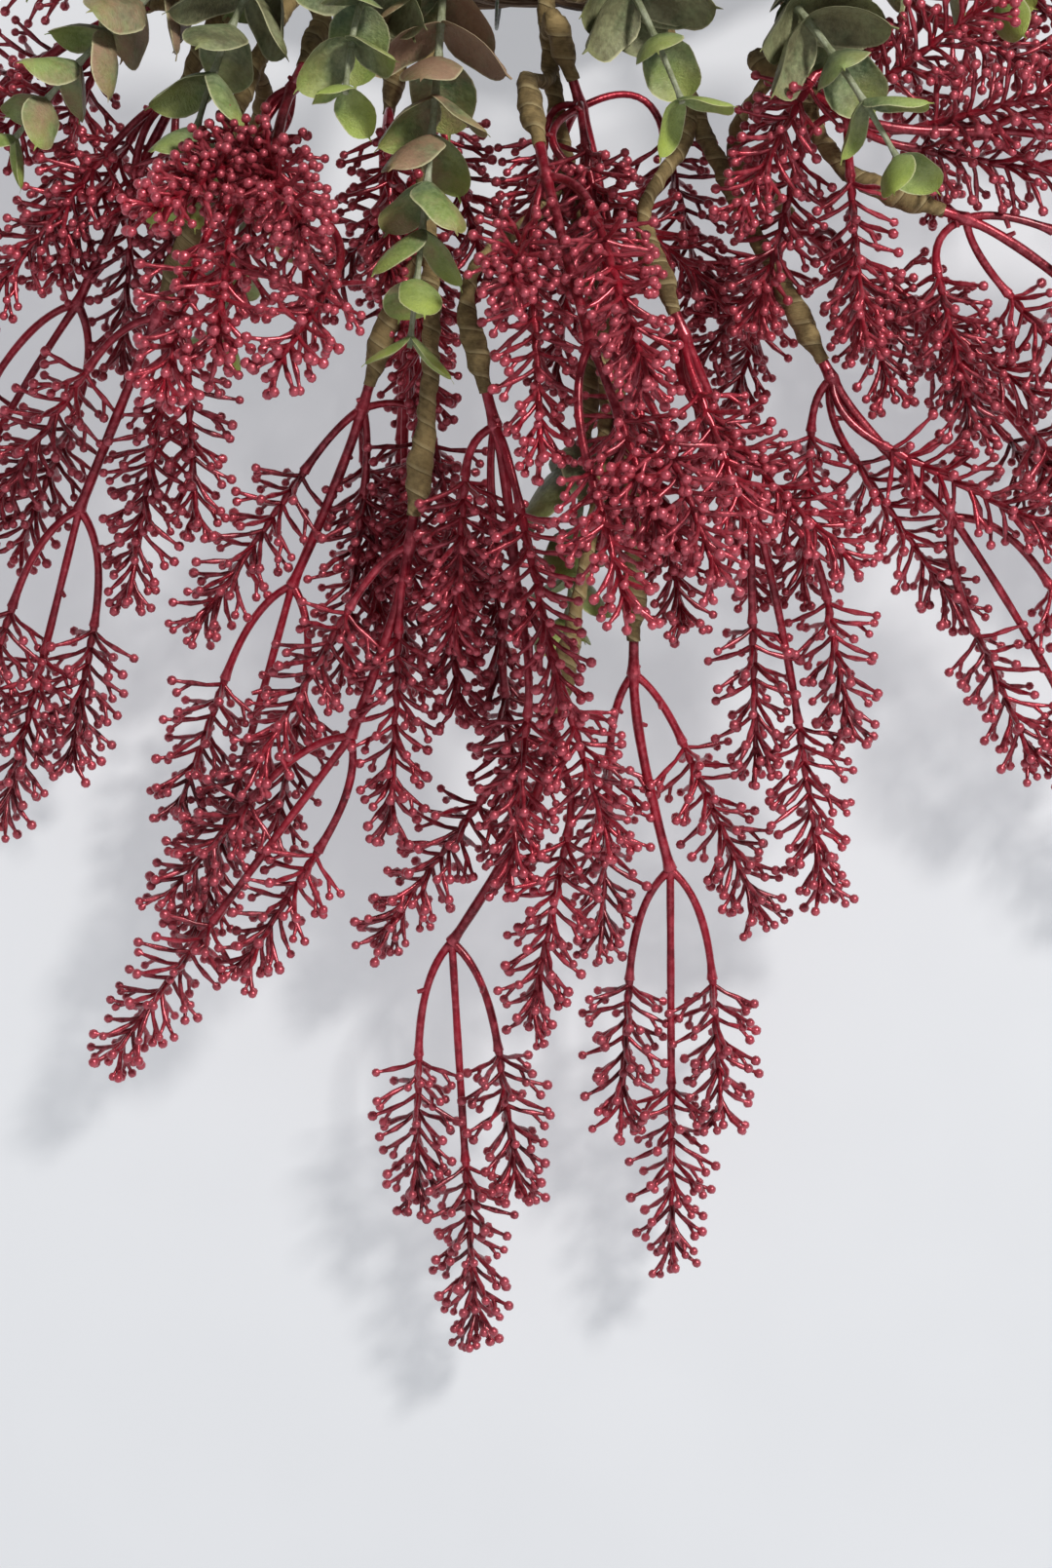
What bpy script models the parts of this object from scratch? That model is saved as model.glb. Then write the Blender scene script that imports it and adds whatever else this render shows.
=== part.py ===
# Harvest door wreath: a grapevine ring that hangs from a wire loop, with five bendable
# sprays of whorled plastic branches and leaf sprigs fanning down from the ring's lowest point.
# Metres, +Z up, X to the viewer's right, Y into the door. The origin is the hanging point.
import math

import bmesh
import bpy
import numpy as np
from mathutils import Matrix, Vector

# Ring and hanger
ring_diameter = 0.354
vine_radius = 0.0070
vine_count = 5
vine_turns = 2
vine_gap = 0.0010
vine_end_gap = 0.006
binder_radius = 0.0018
binder_wraps = 4
hanger_drop = 0.0525
hanger_wire = 0.0012
hanger_eye = 0.0050
touch_gap = 0.0003

# Stems and the sockets that hold the branches
tail_radius = 0.0024
tie_wire = 0.0005
exit_forward = 0.0060
exit_down = 0.0120
tail_turn = 0.00824
fan_bundle = 0.01976  # the bundle radius that the fan's places are measured on; they move out with it
stem_radius = 0.0025
side_stem_radius = 0.0020
sleeve_radius = 0.0031
sleeve_length = 0.012
socket_depth = 0.0055
socket_clearance = 0.00035
plug_gap = 0.0005

# Moulded branches
stalk_radius = 0.0015
knob_radius = 0.0021
head_radius = 0.0064
long_head = 0.052
knot_stalk = 0.022
knot_spread = 0.011
knot_head = 0.056
knot_flare = math.radians(13)
fork_stalk = 0.032
fork_spread = 0.012
fork_head = 0.042
fork_flare = math.radians(4)
same_spray_room = 0.0012
next_spray_room = 0.0030
settle_rounds = 140

# Leaf sprigs
sprig_stem = 0.0011
leaf_length = 0.021
leaf_width = 0.017
leaf_thickness = 0.0013
leaf_pitch = 0.0140
leaf_lean = math.radians(28)

# Worked out from the sizes above
strand_orbit = (vine_radius + vine_gap / 2) / math.sin(math.pi / vine_count)
bundle_radius = strand_orbit + vine_radius
ring_radius = ring_diameter / 2 - bundle_radius
ring_centre = np.array([0.0, 0.0, -hanger_drop - ring_radius])
swell = bundle_radius - fan_bundle
fan_point = ring_centre + [0.0, -swell, -ring_radius - swell]
binder_orbit = (bundle_radius + touch_gap + binder_radius) / math.cos(math.pi / 12)
door_plane = binder_orbit + binder_radius
lane_orbit = bundle_radius + 2 * touch_gap + tail_radius

# Each spray: where it leaves the ring (degrees along the ring from the lowest point), which way
# its stem sets off (degrees from straight down), its tail's lane around the ring's section
# (degrees below the front), and where the tail's hidden end lies (degrees along the ring).
sprays = {
    "far_left": dict(leaves=-20, heading=-40, lane=-48, tail_end=-2),
    "left": dict(leaves=-10, heading=-12, lane=16, tail_end=6),
    "centre": dict(leaves=0, heading=0, lane=48, tail_end=7),
    "right": dict(leaves=10, heading=12, lane=-16, tail_end=-8),
    "far_right": dict(leaves=20, heading=40, lane=-48, tail_end=2),
}

# Each branch: its spray, how far along the spray's main stem its side stem parts (1 is the main
# stem's own end), then start, knot, fork and tip as (across, forward, down) from the ring's
# lowest point, and the roll of the arms at the knot and at the fork in degrees.
branches = {
    "drape": ("far_left", 1.0, (-0.104, 0.043, 0.102), (-0.109, 0.040, 0.113),
              (-0.133, 0.022, 0.165), (-0.158, 0.004, 0.255), 10, -15),
    "edge": ("far_left", 0.28, (-0.098, 0.036, 0.040), (-0.104, 0.034, 0.050),
             (-0.134, 0.020, 0.106), (-0.190, 0.004, 0.205), -20, 15),
    "burst": ("far_left", 0.15, (-0.066, 0.045, 0.040), (-0.070, 0.055, 0.052),
              (-0.077, 0.082, 0.078), (-0.084, 0.112, 0.132), 25, 20),
    "reach": ("far_left", 0.18, (-0.108, 0.030, 0.022), (-0.120, 0.030, 0.026),
              (-0.166, 0.022, 0.056), (-0.252, 0.006, 0.128), 60, 20),
    "bow": ("left", 1.0, (-0.036, 0.046, 0.163), (-0.038, 0.044, 0.177),
            (-0.055, 0.034, 0.230), (-0.126, 0.008, 0.323), 0, 5),
    "shade": ("left", 0.55, (-0.048, 0.031, 0.124), (-0.052, 0.028, 0.137),
              (-0.073, 0.012, 0.186), (-0.103, -0.002, 0.290), -10, 10),
    "under": ("left", 0.12, (-0.044, 0.020, 0.046), (-0.046, 0.018, 0.060),
              (-0.040, 0.010, 0.112), (-0.042, 0.000, 0.215), 80, 80),
    "anchor": ("centre", 1.0, (0.025, 0.028, 0.196), (0.025, 0.025, 0.212),
               (0.036, 0.012, 0.268), (0.037, 0.002, 0.382), 0, 0),
    "plumb": ("centre", 0.6, (0.004, 0.035, 0.218), (0.001, 0.033, 0.234),
              (-0.027, 0.014, 0.290), (-0.020, 0.000, 0.405), 15, 0),
    "crest": ("centre", 0.3, (-0.018, 0.062, 0.130), (-0.014, 0.060, 0.1455),
              (-0.008, 0.050, 0.190), (0.000, 0.024, 0.272), 70, 35),
    "flare": ("centre", 0.15, (-0.003, 0.062, 0.064), (0.000, 0.070, 0.079),
              (0.012, 0.092, 0.127), (0.030, 0.108, 0.180), 30, 10),
    "heart": ("centre", 0.1, (0.006, 0.034, 0.040), (0.010, 0.030, 0.052),
              (0.020, 0.024, 0.104), (0.024, 0.012, 0.200), 20, 70),
    "shelf": ("right", 1.0, (0.074, 0.041, 0.119), (0.080, 0.040, 0.130),
              (0.118, 0.030, 0.165), (0.172, 0.006, 0.262), 30, 5),
    "bloom": ("right", 0.4, (0.033, 0.056, 0.108), (0.038, 0.055, 0.120),
              (0.061, 0.042, 0.163), (0.080, 0.014, 0.275), 40, -10),
    "fence": ("far_right", 1.0, (0.105, 0.045, 0.082), (0.117, 0.044, 0.086),
              (0.158, 0.034, 0.112), (0.238, 0.012, 0.172), 15, 10),
    "dusk": ("far_right", 0.3, (0.066, 0.018, 0.076), (0.077, 0.016, 0.086),
             (0.117, 0.006, 0.118), (0.176, -0.004, 0.190), 80, 80),
    "spark": ("far_right", 0.35, (0.070, 0.056, 0.052), (0.082, 0.060, 0.060),
              (0.122, 0.060, 0.062), (0.196, 0.042, 0.074), 60, 50),
    "wing": ("far_right", 0.15, (0.088, 0.030, 0.018), (0.101, 0.030, 0.018),
             (0.150, 0.022, 0.024), (0.242, 0.008, 0.056), 60, 0),
}

# Shorter heads that leave the same knots, each as its neck and its tip in the same way.
short_heads = {
    "heart": [((-0.006, 0.024, 0.062), (-0.018, 0.016, 0.104)), ((0.012, 0.046, 0.066), (0.022, 0.052, 0.108))],
    "flare": [((-0.014, 0.070, 0.088), (-0.022, 0.102, 0.112)), ((0.014, 0.066, 0.092), (0.036, 0.064, 0.130))],
    "under": [((-0.057, 0.016, 0.066), (-0.074, 0.010, 0.108)), ((-0.034, 0.014, 0.070), (-0.026, 0.008, 0.116))],
    "burst": [((-0.080, 0.050, 0.062), (-0.084, 0.050, 0.108)), ((-0.061, 0.058, 0.062), (-0.064, 0.062, 0.108)),
              ((-0.084, 0.064, 0.060), (-0.106, 0.084, 0.086))],
    "edge": [((-0.098, 0.028, 0.064), (-0.092, 0.018, 0.108)), ((-0.118, 0.028, 0.060), (-0.142, 0.020, 0.096))],
    "reach": [((-0.128, 0.026, 0.040), (-0.142, 0.018, 0.084)), ((-0.132, 0.032, 0.018), (-0.168, 0.030, 0.008))],
    "spark": [((0.084, 0.054, 0.076), (0.088, 0.048, 0.120)), ((0.096, 0.062, 0.050), (0.132, 0.068, 0.030))],
    "wing": [((0.112, 0.036, 0.030), (0.150, 0.036, 0.048)), ((0.104, 0.022, 0.034), (0.114, 0.012, 0.078)),
             ((0.094, 0.042, 0.030), (0.072, 0.048, 0.050))],
    "dusk": [((0.068, 0.012, 0.100), (0.058, 0.006, 0.142)), ((0.080, 0.026, 0.100), (0.080, 0.030, 0.142))],
    "fence": [((0.114, 0.040, 0.102), (0.112, 0.034, 0.148))],
    "bloom": [((0.048, 0.062, 0.132), (0.064, 0.066, 0.170))],
    "shelf": [((0.074, 0.036, 0.144), (0.074, 0.028, 0.190))],
    "crest": [((-0.026, 0.058, 0.156), (-0.036, 0.052, 0.198))],
    "shade": [((-0.046, 0.020, 0.152), (-0.040, 0.012, 0.198))],
    "drape": [((-0.102, 0.034, 0.126), (-0.096, 0.024, 0.170))],
}

# Each sprig: its spray, where its side stem parts, then start, bend and end in the same way.
sprigs = {
    "tassel": ("left", 0.08, (-0.028, 0.058, 0.014), (-0.028, 0.080, 0.050), (-0.037, 0.074, 0.126)),
    "nod": ("left", 0.10, (-0.042, 0.058, 0.014), (-0.052, 0.080, 0.030), (-0.053, 0.096, 0.062)),
    "lilt": ("far_left", 0.06, (-0.072, 0.056, 0.012), (-0.088, 0.072, 0.034), (-0.099, 0.070, 0.084)),
    "wave": ("far_left", 0.10, (-0.086, 0.050, 0.008), (-0.116, 0.058, 0.028), (-0.148, 0.050, 0.066)),
    "crown": ("far_left", 0.08, (-0.080, 0.070, -0.004), (-0.110, 0.086, 0.000), (-0.140, 0.078, 0.022)),
    "tuck": ("far_left", 0.45, (-0.082, 0.026, 0.062), (-0.086, 0.022, 0.085), (-0.094, 0.016, 0.114)),
    "hush": ("centre", 0.55, (0.012, 0.022, 0.140), (0.010, 0.014, 0.170), (0.006, 0.006, 0.196)),
    "dart": ("right", 0.12, (0.020, 0.058, 0.020), (0.026, 0.076, 0.034), (0.036, 0.084, 0.062)),
    "perch": ("far_right", 0.16, (0.064, 0.064, 0.028), (0.074, 0.082, 0.042), (0.094, 0.084, 0.078)),
    "peek": ("far_right", 0.08, (0.074, 0.046, 0.004), (0.096, 0.056, 0.010), (0.126, 0.052, 0.028)),
}


def place(spot):
    # across, forward and down from the ring's lowest point, as a point in the part's frame
    across, forward, down = spot
    return fan_point + [across, -forward, -down]


def unit(vector):
    return vector / np.linalg.norm(vector)


def rotated(vector, axis, angle):
    # Rodrigues' rotation of a vector about a unit axis
    turned = vector * math.cos(angle) + np.cross(axis, vector) * math.sin(angle)
    return turned + axis * np.dot(axis, vector) * (1 - math.cos(angle))


def bezier(ends, handles, count):
    # cubic through two ends with two handles, at count equal steps of its parameter
    t = np.linspace(0, 1, count)[:, None]
    near, far = ends
    first, second = handles
    return (1 - t) ** 3 * near + 3 * t * (1 - t) ** 2 * first + 3 * t ** 2 * (1 - t) * second + t ** 3 * far


def bow(start, handle, end, count):
    # quadratic through two ends with one handle
    t = np.linspace(0, 1, count)[:, None]
    return (1 - t) ** 2 * start + 2 * t * (1 - t) * handle + t ** 2 * end


def on_ring(along, section, orbit):
    # a point beside the ring's centre line: degrees along the ring from its lowest point,
    # degrees around the section from the front towards the outside
    theta, phi = np.broadcast_arrays(np.radians(along), np.radians(section))
    reach = ring_radius + orbit * np.sin(phi)
    return np.stack([reach * np.sin(theta), -orbit * np.cos(phi), ring_centre[2] - reach * np.cos(theta)], -1)


def exit_point(spray):
    # where a spray leaves the ring: in front of the tails and below the ring's centre line
    theta = math.radians(spray["leaves"])
    reach = ring_radius + swell + exit_down
    return np.array([reach * math.sin(theta), -lane_orbit - exit_forward, ring_centre[2] - reach * math.cos(theta)])


def heading(spray):
    angle = math.radians(spray["heading"])
    return np.array([math.sin(angle), 0.0, -math.cos(angle)])


# ---- layout: where every stem, arm and head lies ----

def stem_route(start, away, mouth, aim, count):
    # leaves along one direction and comes into the socket's mouth along another, its last
    # stretch straight so that the sleeve is a straight tube
    bend_end = mouth - aim * sleeve_length
    pull = np.linalg.norm(bend_end - start) * 0.4
    curve = bezier((start, bend_end), (start + away * pull, bend_end - aim * pull), count)
    return np.vstack([curve, bend_end + aim * sleeve_length * 0.25, mouth])


def sockets_of(spray_name):
    # every branch and sprig that a spray carries: its parting, its mouth and its direction
    found = []
    for table in (branches, sprigs):
        for name, row in table.items():
            if row[0] == spray_name:
                mouth = place(row[2])
                found.append((name, row[1], mouth, unit(place(row[3]) - mouth)))
    return sorted(found, key=lambda item: -item[1])


def spray_routes(spray_name):
    # the main stem first, then each side stem from its parting on the main stem
    spray = sprays[spray_name]
    sockets = sockets_of(spray_name)
    origin = exit_point(spray)
    away = heading(spray)
    main = stem_route(origin + away * touch_gap / 2, away, sockets[0][2], sockets[0][3], 7)
    routes = [main]
    for name, parting, mouth, aim in sockets[1:]:
        place_on = parting * 6
        low = int(place_on)
        start = main[low] + (main[low + 1] - main[low]) * (place_on - low)
        along = unit(main[low + 1] - main[low])
        toward = unit(mouth - aim * sleeve_length - start)
        routes.append(stem_route(start, unit(along + toward * 0.8), mouth, aim, 4))
    return routes


def sprig_layout(row):
    # the stem's curve and the leaf pairs on it, each leaf as its foot, direction and width axis
    start, bend, end = (place(spot) for spot in row[2:])
    stem = bow(start, bend, end, 7)
    length = np.linalg.norm(np.diff(stem, axis=0), axis=1).sum()
    pairs = max(2, int(length / leaf_pitch))
    leaves = []
    for number in range(pairs):
        share = 0.28 + 0.70 * number / (pairs - 1)
        foot = bow(start, bend, end, 201)[int(share * 200)]
        along = unit(bow(start, bend, end, 201)[min(200, int(share * 200) + 1)]
                     - bow(start, bend, end, 201)[int(share * 200) - 1])
        across = unit(np.cross(along, [0.0, 1.0, 0.0]) + 1e-6)
        across = rotated(across, along, math.radians(90 * (number % 2) + 12 * number))
        size = 1.0 - 0.35 * number / (pairs - 1)
        for sign in (-1, 1):
            out = across * sign * math.cos(leaf_lean) + along * math.sin(leaf_lean)
            leaves.append((foot, out, unit(np.cross(along, across)), size))
    return stem, leaves


def lay_out():
    # dots are points, bars join two dots and have a radius; loose dots may settle
    dots = []
    loose = []
    bars = []

    def dot(point, weight):
        dots.append(point)
        loose.append(weight)
        return len(dots) - 1

    def bar(first, second, radius, owner, body):
        bars.append((first, second, radius, owner, body))

    def run(points, radius, owner, body):
        ids = [dot(point, 0.0) for point in points]
        for first, second in zip(ids, ids[1:]):
            bar(first, second, radius, owner, body)

    bodies = list(sprays)
    arms = {}
    for number, (name, row) in enumerate(branches.items()):
        body = bodies.index(row[0])
        start, knot, fork, tip = (place(spot) for spot in row[2:6])
        trunk = unit(fork - knot)
        droop = unit(tip - fork)
        knot_id = dot(knot, 0.0)
        fork_id = dot(fork, 0.5)
        bar(dot(start, 0.0), knot_id, stalk_radius, number, body)
        bar(knot_id, fork_id, knob_radius, number, body)
        reach = np.linalg.norm(tip - fork)
        head = min(long_head, 0.62 * reach)
        neck_id = dot(tip - droop * head, 1.0)
        tip_id = dot(tip, 1.0)
        bar(fork_id, neck_id, 2 * stalk_radius, number, body)
        bar(neck_id, tip_id, head_radius, number, body)
        arms[name] = [(fork_id, neck_id, tip_id)]
        ways = ((knot_id, trunk, row[6], knot_stalk, knot_spread, knot_head, knot_flare),
                (fork_id, droop, row[7], fork_stalk, fork_spread, fork_head, fork_flare))
        for root_id, ahead, roll, stalk, spread, length, flare in ways:
            sideways = rotated(unit(np.cross(ahead, [0.0, 1.0, 0.0])), ahead, math.radians(roll))
            for sign in (-1, 1):
                root = dots[root_id]
                out = ahead * math.cos(flare) + sideways * sign * math.sin(flare)
                neck = root + sideways * sign * spread + ahead * stalk
                ids = (root_id, dot(neck, 1.0), dot(neck + out * length, 1.0))
                bar(ids[0], ids[1], 2 * stalk_radius, number, body)
                bar(ids[1], ids[2], head_radius, number, body)
                arms[name].append(ids)
        for near, far in short_heads.get(name, []):
            ids = (knot_id, dot(place(near), 1.0), dot(place(far), 1.0))
            bar(ids[0], ids[1], 2 * stalk_radius, number, body)
            bar(ids[1], ids[2], head_radius, number, body)
            arms[name].append(ids)
    owner = len(branches)
    for body, spray_name in enumerate(bodies):
        for route in spray_routes(spray_name):
            run(route, sleeve_radius, owner, body)
        owner += 1
    for row in sprigs.values():
        body = bodies.index(row[0])
        stem, leaves = sprig_layout(row)
        run(stem, sprig_stem, owner, body)
        for foot, out, width, size in leaves:
            run([foot, foot + out * leaf_length * size], 0.40 * leaf_width * size, owner, body)
        owner += 1
    ring_run = on_ring(np.linspace(-80, 80, 33), np.zeros(33), 0.0)
    run(ring_run, lane_orbit + tail_radius + 2 * tie_wire, owner, -1)
    return np.array(dots), np.array(loose), bars, arms


def nearest(p, u, q, v):
    # closest points of two segments, p + s u and q + t v, each parameter held within 0 and 1
    w = p - q
    a = (u * u).sum(-1) + 1e-12
    b = (u * v).sum(-1)
    c = (v * v).sum(-1) + 1e-12
    d = (u * w).sum(-1)
    e = (v * w).sum(-1)
    s = np.clip((b * e - c * d) / np.maximum(a * c - b * b, 1e-12), 0, 1)
    t = np.clip((b * s + e) / c, 0, 1)
    s = np.clip((b * t - d) / a, 0, 1)
    return s, t


def settle(dots, loose, bars):
    # pushes crowded bars apart, holds each bar's length and draws each dot back to its own place;
    # bars of two sprays are kept apart as seen from the front, so that the sprays can bend freely
    first = np.array([bar[0] for bar in bars])
    second = np.array([bar[1] for bar in bars])
    radius = np.array([bar[2] for bar in bars])
    owner = np.array([bar[3] for bar in bars])
    body = np.array([bar[4] for bar in bars])
    one, two = np.triu_indices(len(bars), 1)
    movable = np.maximum(loose[first], loose[second])
    wanted = (owner[one] != owner[two]) & (movable[one] + movable[two] > 0)
    one, two = one[wanted], two[wanted]
    apart = (body[one] != body[two]) & (body[one] >= 0) & (body[two] >= 0)
    room = radius[one] + radius[two] + np.where(apart, next_spray_room, same_spray_room)
    flat = np.where(apart[:, None], [1.0, 0.0, 1.0], [1.0, 1.0, 1.0])
    home = dots.copy()
    lengths = np.linalg.norm(dots[second] - dots[first], axis=1)
    for count in range(settle_rounds):
        p, u = dots[first[one]] * flat, (dots[second[one]] - dots[first[one]]) * flat
        q, v = dots[first[two]] * flat, (dots[second[two]] - dots[first[two]]) * flat
        s, t = nearest(p, u, q, v)
        gap = p + s[:, None] * u - q - t[:, None] * v
        distance = np.linalg.norm(gap, axis=1)
        short = np.maximum(room - distance, 0)
        way = gap / np.maximum(distance, 1e-6)[:, None]
        push = way * (short * 0.4)[:, None]
        shift = np.zeros_like(dots)
        weight = np.full(len(dots), 1e-9)
        for ids, share, sign in ((first[one], 1 - s, 1), (second[one], s, 1),
                                 (first[two], 1 - t, -1), (second[two], t, -1)):
            np.add.at(shift, ids, sign * push * share[:, None])
            np.add.at(weight, ids, (short > 0) * share)
        shift = shift / np.maximum(weight, 1.0)[:, None]
        dots = dots + 1.6 * shift * loose[:, None] + 0.01 * (home - dots)
        run = dots[second] - dots[first]
        now = np.linalg.norm(run, axis=1)
        total = np.maximum(loose[first] + loose[second], 1e-9)
        fix = run * ((now - lengths) / now / total)[:, None] * 0.5
        np.add.at(dots, first, fix * loose[first][:, None])
        np.add.at(dots, second, -fix * loose[second][:, None])
        dots[:, 1] = np.where(loose > 0, np.minimum(dots[:, 1], door_plane - 2 * head_radius), dots[:, 1])
    return dots


# ---- shapes ----

def new_object(name, mesh, collection):
    item = bpy.data.objects.new(name, mesh)
    collection.objects.link(item)
    return item


def weld(mesh):
    welded = bmesh.new()
    welded.from_mesh(mesh)
    bmesh.ops.remove_doubles(welded, verts=welded.verts, dist=1e-6)
    bmesh.ops.recalc_face_normals(welded, faces=welded.faces)
    welded.to_mesh(mesh)
    welded.free()


def baked(item):
    # swaps an object for one that holds its evaluated mesh, with nothing left to evaluate
    name = item.name
    graph = bpy.context.evaluated_depsgraph_get()
    mesh = bpy.data.meshes.new_from_object(item.evaluated_get(graph))
    weld(mesh)
    collection = item.users_collection[0]
    matrix = item.matrix_world.copy()
    bpy.data.objects.remove(item)
    result = new_object(name, mesh, collection)
    result.matrix_world = matrix
    return result


def tube(name, points, radii, sides=6, cyclic=False):
    # a wire of changing thickness along a path of points
    curve = bpy.data.curves.new(name, "CURVE")
    curve.dimensions = "3D"
    curve.bevel_depth = 1.0
    curve.bevel_resolution = (sides - 4) // 2
    curve.use_fill_caps = not cyclic
    spline = curve.splines.new("POLY")
    spline.points.add(len(points) - 1)
    spline.use_cyclic_u = cyclic
    sizes = np.broadcast_to(radii, len(points))
    for point, position, size in zip(spline.points, points, sizes):
        point.co = (*position, 1.0)
        point.radius = float(size)
    return baked(new_object(name, curve, parts))


def join(base, others, operation="UNION"):
    # cuts or joins the others into the base, one after another, and removes them
    for other in others:
        change = base.modifiers.new(operation.lower(), "BOOLEAN")
        change.operation = operation
        change.solver = "MANIFOLD"
        change.object = other
    base = baked(base)
    for other in others:
        bpy.data.objects.remove(other)
    return base


def rod(name, start, end, radius):
    # a straight six-sided bar between two points
    mesh = bpy.data.meshes.new(name)
    body = bmesh.new()
    depth = float(np.linalg.norm(end - start))
    bmesh.ops.create_cone(body, cap_ends=True, segments=6, radius1=radius, radius2=radius, depth=depth)
    body.to_mesh(mesh)
    body.free()
    item = new_object(name, mesh, parts)
    item.rotation_mode = "QUATERNION"
    item.rotation_quaternion = Vector(end - start).to_track_quat("Z", "Y")
    item.location = (start + end) / 2
    bpy.context.view_layer.update()
    return item


def finish(item, material):
    item.data.materials.clear()
    item.data.materials.append(material)
    item.data.shade_smooth()
    item.data.set_sharp_from_angle(angle=math.radians(40))
    return item


def set_origin(item, origin):
    # puts an object's own origin on its joint without moving its shape
    item.data.transform(Matrix.Translation(-Vector(origin)) @ item.matrix_world)
    item.matrix_world = Matrix.Translation(Vector(origin))
    return item


def material(name, colour, roughness, metallic=0.0):
    made = bpy.data.materials.new(name)
    made.use_nodes = True
    shader = made.node_tree.nodes["Principled BSDF"]
    shader.inputs["Base Color"].default_value = (*colour, 1.0)
    shader.inputs["Roughness"].default_value = roughness
    shader.inputs["Metallic"].default_value = metallic
    return made


def rounded_end(points, radius):
    # rings of a half-round cap at the start of a path, then the path itself
    away = unit(points[1] - points[0])
    angles = np.radians([25, 55])
    rings = [points[0] + away * radius * (1 - math.cos(angle)) for angle in angles]
    sizes = [radius * math.sin(angle) for angle in angles]
    body = [points[0] + away * radius, *points[1:]]
    return np.vstack([rings, body]), sizes + [radius] * len(body)


# ---- pieces ----

def make_vine(number):
    # one strand: a helix around the ring's centre line, with its two ends facing each other
    share = number / vine_count
    open_at = 150 + 37 * number
    gap = math.degrees(vine_end_gap / ring_radius)
    along = np.linspace(open_at + gap / 2, open_at + 360 - gap / 2, 30)
    section = 360 * share + vine_turns * along
    points = on_ring(along, section, strand_orbit)
    return tube(f"vine_{number + 1}", points, vine_radius)


def make_binder(name, sign):
    # a thin vine wound round the bundle from beside the sprays to beside the hanger
    steps = binder_wraps * 12 + 1
    along = np.linspace(34, 170, steps) * sign
    section = np.linspace(0, 360 * binder_wraps, steps)
    return tube(name, on_ring(along, section, binder_orbit), binder_radius, sides=4)


def make_hanger():
    # a closed wire loop: round the bundle below, narrowing to the eye that the hook holds
    low = np.array([0.0, 0.0, -hanger_drop])
    high = np.array([0.0, 0.0, -hanger_eye + hanger_wire])
    orbit = (bundle_radius + touch_gap + hanger_wire) / math.cos(math.pi / 20)
    slope = math.asin((orbit - hanger_eye) / (hanger_drop - hanger_eye))
    under = np.linspace(slope, -math.pi - slope, 16)
    over = np.linspace(math.pi - slope, slope, 8)
    lower = low + orbit * np.stack([0 * under, np.cos(under), np.sin(under)], 1)
    upper = high + hanger_eye * np.stack([0 * over, np.cos(over), np.sin(over)], 1)
    return tube("hanger_loop", np.vstack([lower, upper]), hanger_wire, cyclic=True)


def make_tie(number, along):
    # a wire round the ring's bundle that swells in front to hold the tails
    section = np.linspace(0, 360, 20, endpoint=False)
    back = bundle_radius + touch_gap + tie_wire
    front = lane_orbit + tail_radius + touch_gap + tie_wire
    swell = np.clip((np.cos(np.radians(section)) + 0.35) / 0.75, 0, 1)
    orbit = (back + (front - back) * swell) / math.cos(math.pi / 20)
    return tube(f"tie_{number}", on_ring(along, section, orbit), tie_wire, sides=4, cyclic=True)


def make_tail(name, spray):
    # lies in its lane along the ring's front, then turns to face its stem
    sign = math.copysign(1, spray["leaves"] - spray["tail_end"])
    near = spray["leaves"] - math.degrees(tail_turn / ring_radius) * sign
    lane = on_ring(np.linspace(spray["tail_end"], near, 4), spray["lane"], lane_orbit)
    away = heading(spray)
    mouth = exit_point(spray) - away * touch_gap / 2
    pull = np.linalg.norm(mouth - lane[-1]) * 0.5
    turn = bezier((lane[-1], mouth), (lane[-1] + unit(lane[-1] - lane[-2]) * pull, mouth - away * pull), 6)
    points, sizes = rounded_end(np.vstack([lane, turn[1:]])[::-1], tail_radius)
    return tube(f"tail_{name}", points, sizes)


def make_stem(name):
    # the taped main stem with its side stems, each ending in a sleeve with a blind hole
    sleeves = sockets_of(name)
    pieces = []
    holes = []
    for order, (route, sleeve) in enumerate(zip(spray_routes(name), sleeves)):
        mouth, aim = sleeve[2], sleeve[3]
        if order == 0:
            points, sizes = rounded_end(route, stem_radius)
        else:
            points, sizes = route, [side_stem_radius] * len(route)
        sizes = list(sizes)
        sizes[-2:] = [sleeve_radius] * 2
        pieces.append(tube(f"stem_{name}" if order == 0 else f"side_{name}_{order}", points, sizes))
        radius = (stalk_radius + socket_clearance) / math.cos(math.pi / 6)
        hole = rod(f"hole_{name}_{order}", mouth - aim * socket_depth, mouth + aim * socket_depth, radius)
        holes.append(hole)
    whole = join(pieces[0], pieces[1:])
    return join(whole, holes, "DIFFERENCE")


def arm_path(root, neck, tip, pull):
    # a bowed stalk from a knob, then the head as a spindle in line with its end
    out = unit(tip - neck)
    handle = neck - out * np.linalg.norm(neck - root) * pull
    stalk = bow(root, handle, neck, 3)
    head = neck + (tip - neck) * np.array([0.14, 0.60, 1.0])[:, None]
    sizes = [stalk_radius * 0.8, stalk_radius, stalk_radius * 0.9]
    sizes += [head_radius * 0.9, head_radius, head_radius * 0.25]
    return np.vstack([stalk, head]), sizes


def make_branch(name, dots, arms):
    # the plug, knob, fork and middle head are one tube; the four side arms join it
    start = place(branches[name][2])
    knot = place(branches[name][3])
    aim = unit(knot - start)
    fork = dots[arms[0][0]]
    middle, middle_sizes = arm_path(*(dots[i] for i in arms[0]), 0.45)
    plug = start - aim * (socket_depth - plug_gap)
    between = bow(knot, knot + aim * np.linalg.norm(fork - knot) * 0.3, fork, 3)[1]
    points = np.vstack([plug, start + aim * 0.001, knot, between, middle])
    sizes = [stalk_radius] * 2 + [knob_radius, stalk_radius * 1.1, knob_radius] + middle_sizes[1:]
    trunk = tube(f"branch_{name}", points, sizes)
    sides = []
    for number, ids in enumerate(arms[1:]):
        path, radii = arm_path(*(dots[i] for i in ids), 0.7)
        sides.append(tube(f"arm_{name}_{number}", path, radii))
    return join(trunk, sides)


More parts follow.
